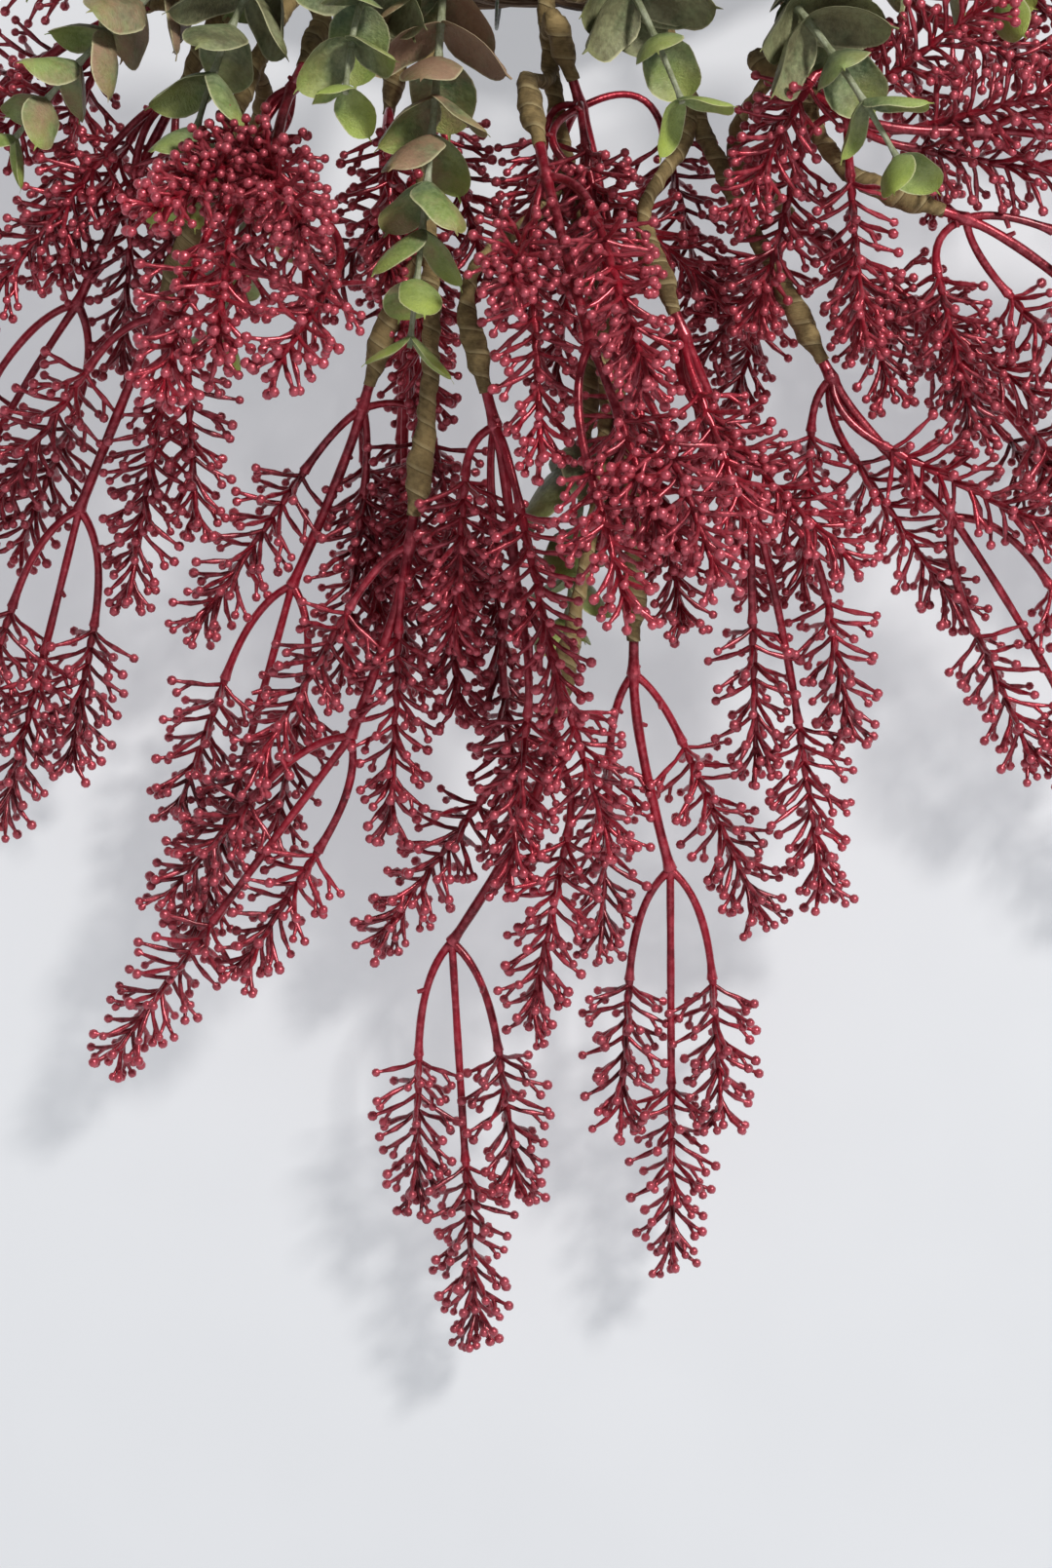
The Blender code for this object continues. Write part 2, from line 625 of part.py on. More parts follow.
def make_leaf(name, foot, out, width, size):
    # a thin six-cornered lens with one corner inside the stem
    mesh = bpy.data.meshes.new(name)
    body = bmesh.new()
    bmesh.ops.create_uvsphere(body, u_segments=6, v_segments=2, radius=1.0)
    body.to_mesh(mesh)
    body.free()
    item = new_object(name, mesh, parts)
    half = leaf_length * size / 2
    thick = np.cross(width, out)
    axes = np.stack([width * leaf_width * size / 2, out * half, thick * leaf_thickness / 2], 1)
    centre = foot + out * (half + sprig_stem * 0.2)
    turn = Matrix.Identity(4)
    for row in range(3):
        for column in range(3):
            turn[row][column] = axes[row, column]
        turn[row][3] = centre[row]
    mesh.transform(turn)
    return item


def make_sprig(name):
    row = sprigs[name]
    stem, leaves = sprig_layout(row)
    aim = unit(place(row[3]) - place(row[2]))
    plug = place(row[2]) - aim * (socket_depth - plug_gap)
    sizes = np.linspace(sprig_stem, sprig_stem * 0.6, len(stem) + 1)
    body = tube(f"sprig_{name}", np.vstack([plug, stem]), sizes, sides=4)
    blades = []
    for number, (foot, out, width, size) in enumerate(leaves):
        blades.append(make_leaf(f"leaf_{name}_{number}", foot, out, width, size))
    return join(body, blades)


for old in list(bpy.data.objects):
    bpy.data.objects.remove(old)
parts = bpy.data.collections.new("harvest_door_wreath")
bpy.context.scene.collection.children.link(parts)

vine_brown = material("vine_brown", (0.20, 0.12, 0.07), 0.85)
hanger_green = material("hanger_green", (0.06, 0.09, 0.05), 0.45, 0.6)
tie_green = material("tie_green", (0.07, 0.10, 0.06), 0.5, 0.5)
paper_tape = material("paper_tape", (0.23, 0.18, 0.07), 0.8)
burgundy = material("burgundy_plastic", (0.26, 0.02, 0.04), 0.35)
leaf_green = material("leaf_green", (0.17, 0.24, 0.07), 0.5)

swing_point = (0.0, 0.0, -hanger_drop)
for strand in range(vine_count):
    set_origin(finish(make_vine(strand), vine_brown), swing_point)
set_origin(finish(make_binder("binding_vine_left", -1), vine_brown), swing_point)
set_origin(finish(make_binder("binding_vine_right", 1), vine_brown), swing_point)
finish(make_hanger(), hanger_green)
for order, along_ring in enumerate((-13, -4.5, 4.5, 13)):
    set_origin(finish(make_tie(order + 1, along_ring), tie_green), swing_point)
dots, loose, bars, arms = lay_out()
dots = settle(dots, loose, bars)
for spray_name, spray_row in sprays.items():
    set_origin(finish(make_tail(spray_name, spray_row), paper_tape), swing_point)
    set_origin(finish(make_stem(spray_name), paper_tape), exit_point(spray_row))
for branch_name in branches:
    item = finish(make_branch(branch_name, dots, arms[branch_name]), burgundy)
    set_origin(item, exit_point(sprays[branches[branch_name][0]]))
for sprig_name in sprigs:
    item = finish(make_sprig(sprig_name), leaf_green)
    set_origin(item, exit_point(sprays[sprigs[sprig_name][0]]))
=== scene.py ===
# Harvest door wreath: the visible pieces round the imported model. A grapevine ring hangs from a
# wire loop, and five taped sprays of moulded plum branches and leaf sprigs fan down from it.
import math

import bpy
import numpy as np
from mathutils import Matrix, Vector


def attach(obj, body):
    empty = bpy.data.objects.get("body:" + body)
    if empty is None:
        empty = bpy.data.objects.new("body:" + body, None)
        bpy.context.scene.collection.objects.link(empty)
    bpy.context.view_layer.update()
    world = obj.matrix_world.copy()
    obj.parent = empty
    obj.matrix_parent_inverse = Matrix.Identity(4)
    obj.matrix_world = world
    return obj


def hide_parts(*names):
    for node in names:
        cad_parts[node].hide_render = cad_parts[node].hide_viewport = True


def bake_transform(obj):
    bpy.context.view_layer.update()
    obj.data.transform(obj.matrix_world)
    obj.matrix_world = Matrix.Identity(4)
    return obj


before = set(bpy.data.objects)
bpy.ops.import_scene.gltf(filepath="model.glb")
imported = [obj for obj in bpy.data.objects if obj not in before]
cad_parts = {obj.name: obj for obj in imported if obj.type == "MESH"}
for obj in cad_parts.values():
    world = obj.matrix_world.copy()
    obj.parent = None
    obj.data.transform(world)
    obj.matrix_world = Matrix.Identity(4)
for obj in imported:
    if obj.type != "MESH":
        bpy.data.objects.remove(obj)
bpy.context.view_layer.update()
print("frame loaded:", len(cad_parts), "nodes")


# where everything lies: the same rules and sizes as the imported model

ring = {
    "diameter": 0.354, "vineRadius": 0.0070, "strands": 5, "turns": 2, "vineGap": 0.0010,
    "endGap": 0.006, "hangerDrop": 0.0525, "touchGap": 0.0003,
}
strandOrbit = (ring["vineRadius"] + ring["vineGap"] / 2) / math.sin(math.pi / ring["strands"])
bundleRadius = strandOrbit + ring["vineRadius"]
ringRadius = ring["diameter"] / 2 - bundleRadius
ringCentre = np.array([0.0, 0.0, -ring["hangerDrop"] - ringRadius])
fanPoint = ringCentre - [0.0, 0.0, ringRadius]

binder = {"radius": 0.0018, "turns": 4, "from": 34, "to": 170, "steps": 320}
binderOrbit = (bundleRadius + ring["touchGap"] + binder["radius"]) / math.cos(math.pi / 12)
doorPlane = binderOrbit + binder["radius"]

tail = {"radius": 0.0024, "exitForward": 0.0060, "exitDown": 0.0120}
laneOrbit = bundleRadius + 2 * ring["touchGap"] + tail["radius"]

# each spray: where it leaves the ring, which way it sets off, its tail's lane and hidden end
sprays = {
    "far_left": {"leaves": -20, "heading": -40, "lane": -48, "tailEnd": -2},
    "left": {"leaves": -10, "heading": -12, "lane": 16, "tailEnd": 6},
    "centre": {"leaves": 0, "heading": 0, "lane": 48, "tailEnd": 7},
    "right": {"leaves": 10, "heading": 12, "lane": -16, "tailEnd": -8},
    "far_right": {"leaves": 20, "heading": 40, "lane": -48, "tailEnd": 2},
}

# each branch: spray, parting, start, knot, fork, tip (across, forward, down), two arm rolls
branches = {
    "drape": ("far_left", 1.0, (-0.104, 0.043, 0.102), (-0.109, 0.040, 0.113),
              (-0.133, 0.022, 0.165), (-0.158, 0.004, 0.255), 10, -15),
    "edge": ("far_left", 0.28, (-0.098, 0.036, 0.040), (-0.104, 0.034, 0.050),
             (-0.134, 0.020, 0.106), (-0.190, 0.004, 0.205), -20, 15),
    "burst": ("far_left", 0.15, (-0.066, 0.045, 0.040), (-0.070, 0.055, 0.052),
              (-0.077, 0.082, 0.078), (-0.084, 0.112, 0.132), 25, 20),
    "reach": ("far_left", 0.18, (-0.108, 0.030, 0.022), (-0.120, 0.030, 0.026),
              (-0.166, 0.022, 0.056), (-0.252, 0.006, 0.128), 60, 20),
    "bow": ("left", 1.0, (-0.036, 0.046, 0.163), (-0.038, 0.044, 0.177),
            (-0.055, 0.034, 0.230), (-0.126, 0.008, 0.323), 0, 5),
    "shade": ("left", 0.55, (-0.048, 0.031, 0.124), (-0.052, 0.028, 0.137),
              (-0.073, 0.012, 0.186), (-0.103, -0.002, 0.290), -10, 10),
    "under": ("left", 0.12, (-0.044, 0.020, 0.046), (-0.046, 0.018, 0.060),
              (-0.040, 0.010, 0.112), (-0.042, 0.000, 0.215), 80, 80),
    "anchor": ("centre", 1.0, (0.025, 0.028, 0.196), (0.025, 0.025, 0.212),
               (0.036, 0.012, 0.268), (0.037, 0.002, 0.382), 0, 0),
    "plumb": ("centre", 0.6, (0.004, 0.035, 0.218), (0.001, 0.033, 0.234),
              (-0.027, 0.014, 0.290), (-0.020, 0.000, 0.405), 15, 0),
    "crest": ("centre", 0.3, (-0.018, 0.062, 0.130), (-0.014, 0.060, 0.1455),
              (-0.008, 0.050, 0.190), (0.000, 0.024, 0.272), 70, 35),
    "flare": ("centre", 0.15, (-0.003, 0.062, 0.064), (0.000, 0.070, 0.079),
              (0.012, 0.092, 0.127), (0.030, 0.108, 0.180), 30, 10),
    "heart": ("centre", 0.1, (0.006, 0.034, 0.040), (0.010, 0.030, 0.052),
              (0.020, 0.024, 0.104), (0.024, 0.012, 0.200), 20, 70),
    "shelf": ("right", 1.0, (0.074, 0.041, 0.119), (0.080, 0.040, 0.130),
              (0.118, 0.030, 0.165), (0.172, 0.006, 0.262), 30, 5),
    "bloom": ("right", 0.4, (0.033, 0.056, 0.108), (0.038, 0.055, 0.120),
              (0.061, 0.042, 0.163), (0.080, 0.014, 0.275), 40, -10),
    "fence": ("far_right", 1.0, (0.105, 0.045, 0.082), (0.117, 0.044, 0.086),
              (0.158, 0.034, 0.112), (0.238, 0.012, 0.172), 15, 10),
    "dusk": ("far_right", 0.3, (0.066, 0.018, 0.076), (0.077, 0.016, 0.086),
             (0.117, 0.006, 0.118), (0.176, -0.004, 0.190), 80, 80),
    "spark": ("far_right", 0.35, (0.070, 0.056, 0.052), (0.082, 0.060, 0.060),
              (0.122, 0.060, 0.062), (0.196, 0.042, 0.074), 60, 50),
    "wing": ("far_right", 0.15, (0.088, 0.030, 0.018), (0.101, 0.030, 0.018),
             (0.150, 0.022, 0.024), (0.242, 0.008, 0.056), 60, 0),
}

# each sprig: spray, parting, start, bend, end in the same way
sprigs = {
    "tassel": ("left", 0.08, (-0.028, 0.058, 0.014), (-0.028, 0.080, 0.050), (-0.037, 0.074, 0.126)),
    "nod": ("left", 0.10, (-0.042, 0.058, 0.014), (-0.052, 0.080, 0.030), (-0.053, 0.096, 0.062)),
    "lilt": ("far_left", 0.06, (-0.072, 0.056, 0.012), (-0.088, 0.072, 0.034), (-0.099, 0.070, 0.084)),
    "wave": ("far_left", 0.10, (-0.086, 0.050, 0.008), (-0.116, 0.058, 0.028), (-0.148, 0.050, 0.066)),
    "crown": ("far_left", 0.08, (-0.080, 0.070, -0.004), (-0.110, 0.086, 0.000), (-0.140, 0.078, 0.022)),
    "tuck": ("far_left", 0.45, (-0.082, 0.026, 0.062), (-0.086, 0.022, 0.085), (-0.094, 0.016, 0.114)),
    "hush": ("centre", 0.55, (0.012, 0.022, 0.140), (0.010, 0.014, 0.170), (0.006, 0.006, 0.196)),
    "dart": ("right", 0.12, (0.020, 0.058, 0.020), (0.026, 0.076, 0.034), (0.036, 0.084, 0.062)),
    "perch": ("far_right", 0.16, (0.064, 0.064, 0.028), (0.074, 0.082, 0.042), (0.094, 0.084, 0.078)),
    "peek": ("far_right", 0.08, (0.074, 0.046, 0.004), (0.096, 0.056, 0.010), (0.126, 0.052, 0.028)),
}

# shorter heads that leave the same knots, each as its neck and its tip in the same way
shortHeads = {
    "heart": [((-0.006, 0.024, 0.062), (-0.018, 0.016, 0.104)),
              ((0.012, 0.046, 0.066), (0.022, 0.052, 0.108))],
    "flare": [((-0.014, 0.070, 0.088), (-0.022, 0.102, 0.112)),
              ((0.014, 0.066, 0.092), (0.036, 0.064, 0.130))],
    "under": [((-0.057, 0.016, 0.066), (-0.074, 0.010, 0.108)),
              ((-0.034, 0.014, 0.070), (-0.026, 0.008, 0.116))],
    "burst": [((-0.080, 0.050, 0.062), (-0.084, 0.050, 0.108)),
              ((-0.061, 0.058, 0.062), (-0.064, 0.062, 0.108)),
              ((-0.084, 0.064, 0.060), (-0.106, 0.084, 0.086))],
    "edge": [((-0.098, 0.028, 0.064), (-0.092, 0.018, 0.108)),
             ((-0.118, 0.028, 0.060), (-0.142, 0.020, 0.096))],
    "reach": [((-0.128, 0.026, 0.040), (-0.142, 0.018, 0.084)),
              ((-0.132, 0.032, 0.018), (-0.168, 0.030, 0.008))],
    "spark": [((0.084, 0.054, 0.076), (0.088, 0.048, 0.120)),
              ((0.096, 0.062, 0.050), (0.132, 0.068, 0.030))],
    "wing": [((0.112, 0.036, 0.030), (0.150, 0.036, 0.048)),
             ((0.104, 0.022, 0.034), (0.114, 0.012, 0.078)),
             ((0.094, 0.042, 0.030), (0.072, 0.048, 0.050))],
    "dusk": [((0.068, 0.012, 0.100), (0.058, 0.006, 0.142)),
             ((0.080, 0.026, 0.100), (0.080, 0.030, 0.142))],
    "fence": [((0.114, 0.040, 0.102), (0.112, 0.034, 0.148))],
    "bloom": [((0.048, 0.062, 0.132), (0.064, 0.066, 0.170))],
    "shelf": [((0.074, 0.036, 0.144), (0.074, 0.028, 0.190))],
    "crest": [((-0.026, 0.058, 0.156), (-0.036, 0.052, 0.198))],
    "shade": [((-0.046, 0.020, 0.152), (-0.040, 0.012, 0.198))],
    "drape": [((-0.102, 0.034, 0.126), (-0.096, 0.024, 0.170))],
}

# small heads low in the crowd, from the same knots; they fill it out and don't settle
innerHeads = {
    "heart": [((0.034, 0.020, 0.058), (0.046, 0.014, 0.106)),
              ((0.000, 0.036, 0.060), (-0.006, 0.038, 0.106))],
    "under": [((-0.030, 0.024, 0.054), (-0.016, 0.020, 0.100)),
              ((-0.044, 0.034, 0.058), (-0.044, 0.040, 0.104))],
    "spark": [((0.070, 0.052, 0.070), (0.058, 0.046, 0.116)),
              ((0.072, 0.064, 0.052), (0.052, 0.064, 0.088))],
    "wing": [((0.084, 0.034, 0.030), (0.060, 0.034, 0.066))],
    "dusk": [((0.066, 0.022, 0.092), (0.042, 0.018, 0.126))],
    "bloom": [((0.024, 0.044, 0.134), (0.016, 0.040, 0.176))],
    "shade": [((-0.032, 0.026, 0.146), (-0.022, 0.024, 0.190))],
    "bow": [((-0.030, 0.040, 0.178), (-0.024, 0.034, 0.222))],
}

branchRule = {
    "stalk": 0.0015, "knob": 0.0021, "headRadius": 0.0064, "longHead": 0.052, "headShare": 0.62,
    "knot": (0.022, 0.011, 0.056, math.radians(13)), "fork": (0.032, 0.012, 0.042, math.radians(4)),
    "sameRoom": 0.0012, "nextRoom": 0.0030, "rounds": 140,
}
stemRule = {"radius": 0.0025, "side": 0.0020, "sleeve": 0.0031, "sleeveLength": 0.012, "depth": 0.0055}
sprigRule = {"stem": 0.0011, "length": 0.021, "width": 0.017, "pitch": 0.0140, "lean": math.radians(28)}


def place(spot):
    # across, forward and down from the ring's lowest point become a point in the frame
    return fanPoint + np.array(spot) * [1, -1, -1]


def unit(vector):
    # a vector, or each row of vectors, over its own length
    return vector / np.linalg.norm(vector, axis=-1, keepdims=True)


def rotated(vector, axis, angle):
    # v cos a + (k x v) sin a + k (k . v)(1 - cos a)
    turned = vector * math.cos(angle) + np.cross(axis, vector) * math.sin(angle)
    return turned + axis * np.dot(axis, vector) * (1 - math.cos(angle))


def bezier(ends, handles, count):
    # cubic: (1-t)^3 A + 3t(1-t)^2 B + 3t^2(1-t) C + t^3 D
    t = np.linspace(0, 1, count)[:, None]
    return ((1 - t) ** 3 * ends[0] + 3 * t * (1 - t) ** 2 * handles[0]
            + 3 * t ** 2 * (1 - t) * handles[1] + t ** 3 * ends[1])


def bow(start, handle, end, count):
    # quadratic: (1-t)^2 A + 2t(1-t) B + t^2 C
    t = np.linspace(0, 1, count)[:, None]
    return (1 - t) ** 2 * start + 2 * t * (1 - t) * handle + t ** 2 * end


def onRing(along, section, orbit):
    # ring angle from the lowest point, section angle from the front, distance from the centre line
    theta, phi = np.broadcast_arrays(np.radians(along), np.radians(section))
    reach = ringRadius + orbit * np.sin(phi)
    down = ringCentre[2] - reach * np.cos(theta)
    return np.stack([reach * np.sin(theta), -orbit * np.cos(phi), down], -1)


def exitPoint(spray):
    # in front of the tails and below the ring's centre line
    theta = math.radians(spray["leaves"])
    reach = ringRadius + tail["exitDown"]
    forward = -laneOrbit - tail["exitForward"]
    return np.array([reach * math.sin(theta), forward, ringCentre[2] - reach * math.cos(theta)])


def headingOf(spray):
    # (sin a, 0, -cos a): a is measured from straight down
    angle = math.radians(spray["heading"])
    return np.array([math.sin(angle), 0.0, -math.cos(angle)])


def stemRoute(start, away, mouth, aim, count):
    # a cubic that sets off along one direction and comes in along another, then a straight sleeve
    bendEnd = mouth - aim * stemRule["sleeveLength"]
    pull = np.linalg.norm(bendEnd - start) * 0.4
    curve = bezier((start, bendEnd), (start + away * pull, bendEnd - aim * pull), count)
    return np.vstack([curve, bendEnd + aim * stemRule["sleeveLength"] * 0.25, mouth])


def socketsOf(sprayName):
    # every branch and sprig on a spray: its parting, mouth and direction, the farthest parting first
    found = []
    for table in (branches, sprigs):
        for name, row in table.items():
            if row[0] == sprayName:
                mouth = place(row[2])
                found.append((name, row[1], mouth, unit(place(row[3]) - mouth)))
    return sorted(found, key=lambda item: -item[1])


def sprayRoutes(sprayName, fine=1):
    # the main stem, then each side stem from its parting; fine multiplies the number of points
    sockets = socketsOf(sprayName)
    away = headingOf(sprays[sprayName])
    start = exitPoint(sprays[sprayName]) + away * ring["touchGap"] / 2
    main = stemRoute(start, away, sockets[0][2], sockets[0][3], 7)
    routes = [stemRoute(start, away, sockets[0][2], sockets[0][3], 6 * fine + 1)]
    for name, parting, mouth, aim in sockets[1:]:
        low = int(parting * 6)
        root = main[low] + (main[low + 1] - main[low]) * (parting * 6 - low)
        along = unit(main[low + 1] - main[low])
        toward = unit(mouth - aim * stemRule["sleeveLength"] - root)
        routes.append(stemRoute(root, unit(along + toward * 0.8), mouth, aim, 3 * fine + 1))
    return routes


def sprigLayout(row, extra=()):
    # a bowed stem and its leaf pairs, each leaf as foot, direction, width axis and size; the extra
    # pairs stand on the bare foot of the stem
    start, bend, end = (place(spot) for spot in row[2:])
    dense = bow(start, bend, end, 201)
    length = np.linalg.norm(np.diff(bow(start, bend, end, 7), axis=0), axis=1).sum()
    pairs = max(2, int(length / sprigRule["pitch"]))
    leaves = []
    rows = [(0.28 + 0.70 * number / (pairs - 1), number) for number in range(pairs)]
    for share, number in rows + [(share, -1 - order) for order, share in enumerate(extra)]:
        step = int(share * 200)
        along = unit(dense[min(200, step + 1)] - dense[step - 1])
        across = unit(np.cross(along, [0.0, 1.0, 0.0]) + 1e-6)
        across = rotated(across, along, math.radians(90 * (number % 2) + 12 * number))
        size = 1.0 - 0.35 * max(number, 0) / (pairs - 1)
        for sign in (-1, 1):
            out = across * sign * math.cos(sprigRule["lean"]) + along * math.sin(sprigRule["lean"])
            leaves.append((dense[step], out, unit(np.cross(along, across)), size, along))
    return leaves


def layOut():
    # dots are points and bars join two dots; every arm of every branch is two bars
    dots, loose, bars, arms = [], [], [], {}
    rule = branchRule

    def dot(point, weight):
        # weight 0 is held and weight 1 moves freely
        dots.append(point)
        loose.append(weight)
        return len(dots) - 1

    def arm(name, owner, body, rootDot, neck, tip):
        # one bar for the stalk and one for the head
        ids = (rootDot, dot(neck, 1.0), dot(tip, 1.0))
        bars.append((ids[0], ids[1], 2 * rule["stalk"], owner, body))
        bars.append((ids[1], ids[2], rule["headRadius"], owner, body))
        arms[name].append(ids)

    def run(points, radius, owner, body):
        # held bars from each point to the next
        ids = [dot(point, 0.0) for point in points]
        bars.extend((first, second, radius, owner, body) for first, second in zip(ids, ids[1:]))

    bodies = list(sprays)
    for number, (name, row) in enumerate(branches.items()):
        body = bodies.index(row[0])
        start, knot, fork, tip = (place(spot) for spot in row[2:6])
        trunk, droop = unit(fork - knot), unit(tip - fork)
        knotDot, forkDot = dot(knot, 0.0), dot(fork, 0.5)
        bars.append((dot(start, 0.0), knotDot, rule["stalk"], number, body))
        bars.append((knotDot, forkDot, rule["knob"], number, body))
        head = min(rule["longHead"], rule["headShare"] * np.linalg.norm(tip - fork))
        arms[name] = []
        arm(name, number, body, forkDot, tip - droop * head, tip)
        for rootDot, ahead, roll, sizes in ((knotDot, trunk, row[6], rule["knot"]),
                                            (forkDot, droop, row[7], rule["fork"])):
            stalk, spread, length, flare = sizes
            sideways = rotated(unit(np.cross(ahead, [0.0, 1.0, 0.0])), ahead, math.radians(roll))
            for sign in (-1, 1):
                out = ahead * math.cos(flare) + sideways * sign * math.sin(flare)
                neck = dots[rootDot] + sideways * sign * spread + ahead * stalk
                arm(name, number, body, rootDot, neck, neck + out * length)
        for near, far in shortHeads.get(name, []):
            arm(name, number, body, knotDot, place(near), place(far))
    owner = len(branches)
    for body, sprayName in enumerate(bodies):
        for route in sprayRoutes(sprayName):
            run(route, stemRule["sleeve"], owner, body)
        owner += 1
    for row in sprigs.values():
        body = bodies.index(row[0])
        run(bow(*(place(spot) for spot in row[2:]), 7), sprigRule["stem"], owner, body)
        for foot, out, width, size, along in sprigLayout(row):
            blade = [foot, foot + out * sprigRule["length"] * size]
            run(blade, 0.40 * sprigRule["width"] * size, owner, body)
        owner += 1
    ringRun = onRing(np.linspace(-80, 80, 33), np.zeros(33), 0.0)
    run(ringRun, laneOrbit + tail["radius"] + 2 * 0.0005, owner, -1)
    return np.array(dots), np.array(loose), bars, arms


def nearest(p, u, q, v):
    # closest points of segments p + s u and q + t v, with s and t held within 0 and 1
    w = p - q
    a = (u * u).sum(-1) + 1e-12
    b = (u * v).sum(-1)
    c = (v * v).sum(-1) + 1e-12
    d = (u * w).sum(-1)
    e = (v * w).sum(-1)
    s = np.clip((b * e - c * d) / np.maximum(a * c - b * b, 1e-12), 0, 1)
    t = np.clip((b * s + e) / c, 0, 1)
    return np.clip((b * t - d) / a, 0, 1), t


def settle(dots, loose, bars):
    # crowded bars push apart, bars keep their lengths and dots drift home; two sprays' bars are
    # kept apart as seen from the front
    table = np.array(bars)
    first, second = table[:, 0].astype(int), table[:, 1].astype(int)
    radius, owner, body = table[:, 2], table[:, 3], table[:, 4]
    one, two = np.triu_indices(len(bars), 1)
    movable = np.maximum(loose[first], loose[second])
    wanted = (owner[one] != owner[two]) & (movable[one] + movable[two] > 0)
    one, two = one[wanted], two[wanted]
    apart = (body[one] != body[two]) & (body[one] >= 0) & (body[two] >= 0)
    room = radius[one] + radius[two] + np.where(apart, branchRule["nextRoom"], branchRule["sameRoom"])
    flat = np.where(apart[:, None], [1.0, 0.0, 1.0], [1.0, 1.0, 1.0])
    home = dots.copy()
    lengths = np.linalg.norm(dots[second] - dots[first], axis=1)
    for count in range(branchRule["rounds"]):
        p, u = dots[first[one]] * flat, (dots[second[one]] - dots[first[one]]) * flat
        q, v = dots[first[two]] * flat, (dots[second[two]] - dots[first[two]]) * flat
        s, t = nearest(p, u, q, v)
        gap = p + s[:, None] * u - q - t[:, None] * v
        distance = np.linalg.norm(gap, axis=1)
        short = np.maximum(room - distance, 0)
        push = gap / np.maximum(distance, 1e-6)[:, None] * (short * 0.4)[:, None]
        shift, weight = np.zeros_like(dots), np.full(len(dots), 1e-9)
        for ids, share, sign in ((first[one], 1 - s, 1), (second[one], s, 1),
                                 (first[two], 1 - t, -1), (second[two], t, -1)):
            np.add.at(shift, ids, sign * push * share[:, None])
            np.add.at(weight, ids, (short > 0) * share)
        shift = shift / np.maximum(weight, 1.0)[:, None]
        dots = dots + 1.6 * shift * loose[:, None] + 0.01 * (home - dots)
        run = dots[second] - dots[first]
        now = np.linalg.norm(run, axis=1)
        total = np.maximum(loose[first] + loose[second], 1e-9)
        fix = run * ((now - lengths) / now / total)[:, None] * 0.5
        np.add.at(dots, first, fix * loose[first][:, None])
        np.add.at(dots, second, -fix * loose[second][:, None])
        deepest = np.minimum(dots[:, 1], doorPlane - 2 * branchRule["headRadius"])
        dots[:, 1] = np.where(loose > 0, deepest, dots[:, 1])
    return dots


dots, loose, bars, arms = layOut()
dots = settle(dots, loose, bars)
print("layout settled:", len(bars), "bars")


# surfaces

def smooth(low, high, value):
    # 3t^2 - 2t^3 between low and high
    t = np.clip((value - low) / (high - low), 0, 1)
    return t * t * (3 - 2 * t)


def spanOf(points):
    # the distance travelled along a path at each of its points
    steps = np.linalg.norm(np.diff(points, axis=0), axis=1)
    return np.concatenate([[0.0], np.cumsum(steps)])


def evenly(points, step):
    # the same path, its points at equal distances
    span = spanOf(points)
    wanted = np.linspace(0, span[-1], max(3, int(span[-1] / step) + 1))
    return np.stack([np.interp(wanted, span, points[:, axis]) for axis in range(3)], 1)


def rounded(points, rounds=3):
    # corners eased: each inner point moves half way to the middle of its neighbours
    points = points.copy()
    for count in range(rounds):
        points[1:-1] += 0.5 * ((points[:-2] + points[2:]) / 2 - points[1:-1])
    return points


def runFrames(points):
    # unit tangent T, then S = T x k and U = T x S, where k is the world axis least along the path
    ahead = unit(np.gradient(points, axis=0))
    least = np.abs(ahead).max(axis=0).argmin()
    side = unit(np.cross(ahead, np.eye(3)[least]))
    return ahead, side, np.cross(ahead, side)


def tubeRings(points, radii, sides, relief=0.0):
    # centre + r (S cos a + U sin a), with relief added to r at each station and side
    ahead, side, up = runFrames(points)
    angle = 2 * math.pi * np.arange(sides) / sides
    size = (np.broadcast_to(radii, len(points))[:, None] + relief)[..., None]
    around = side[:, None] * np.cos(angle)[:, None] + up[:, None] * np.sin(angle)[:, None]
    return (points[:, None] + around * size)[None]


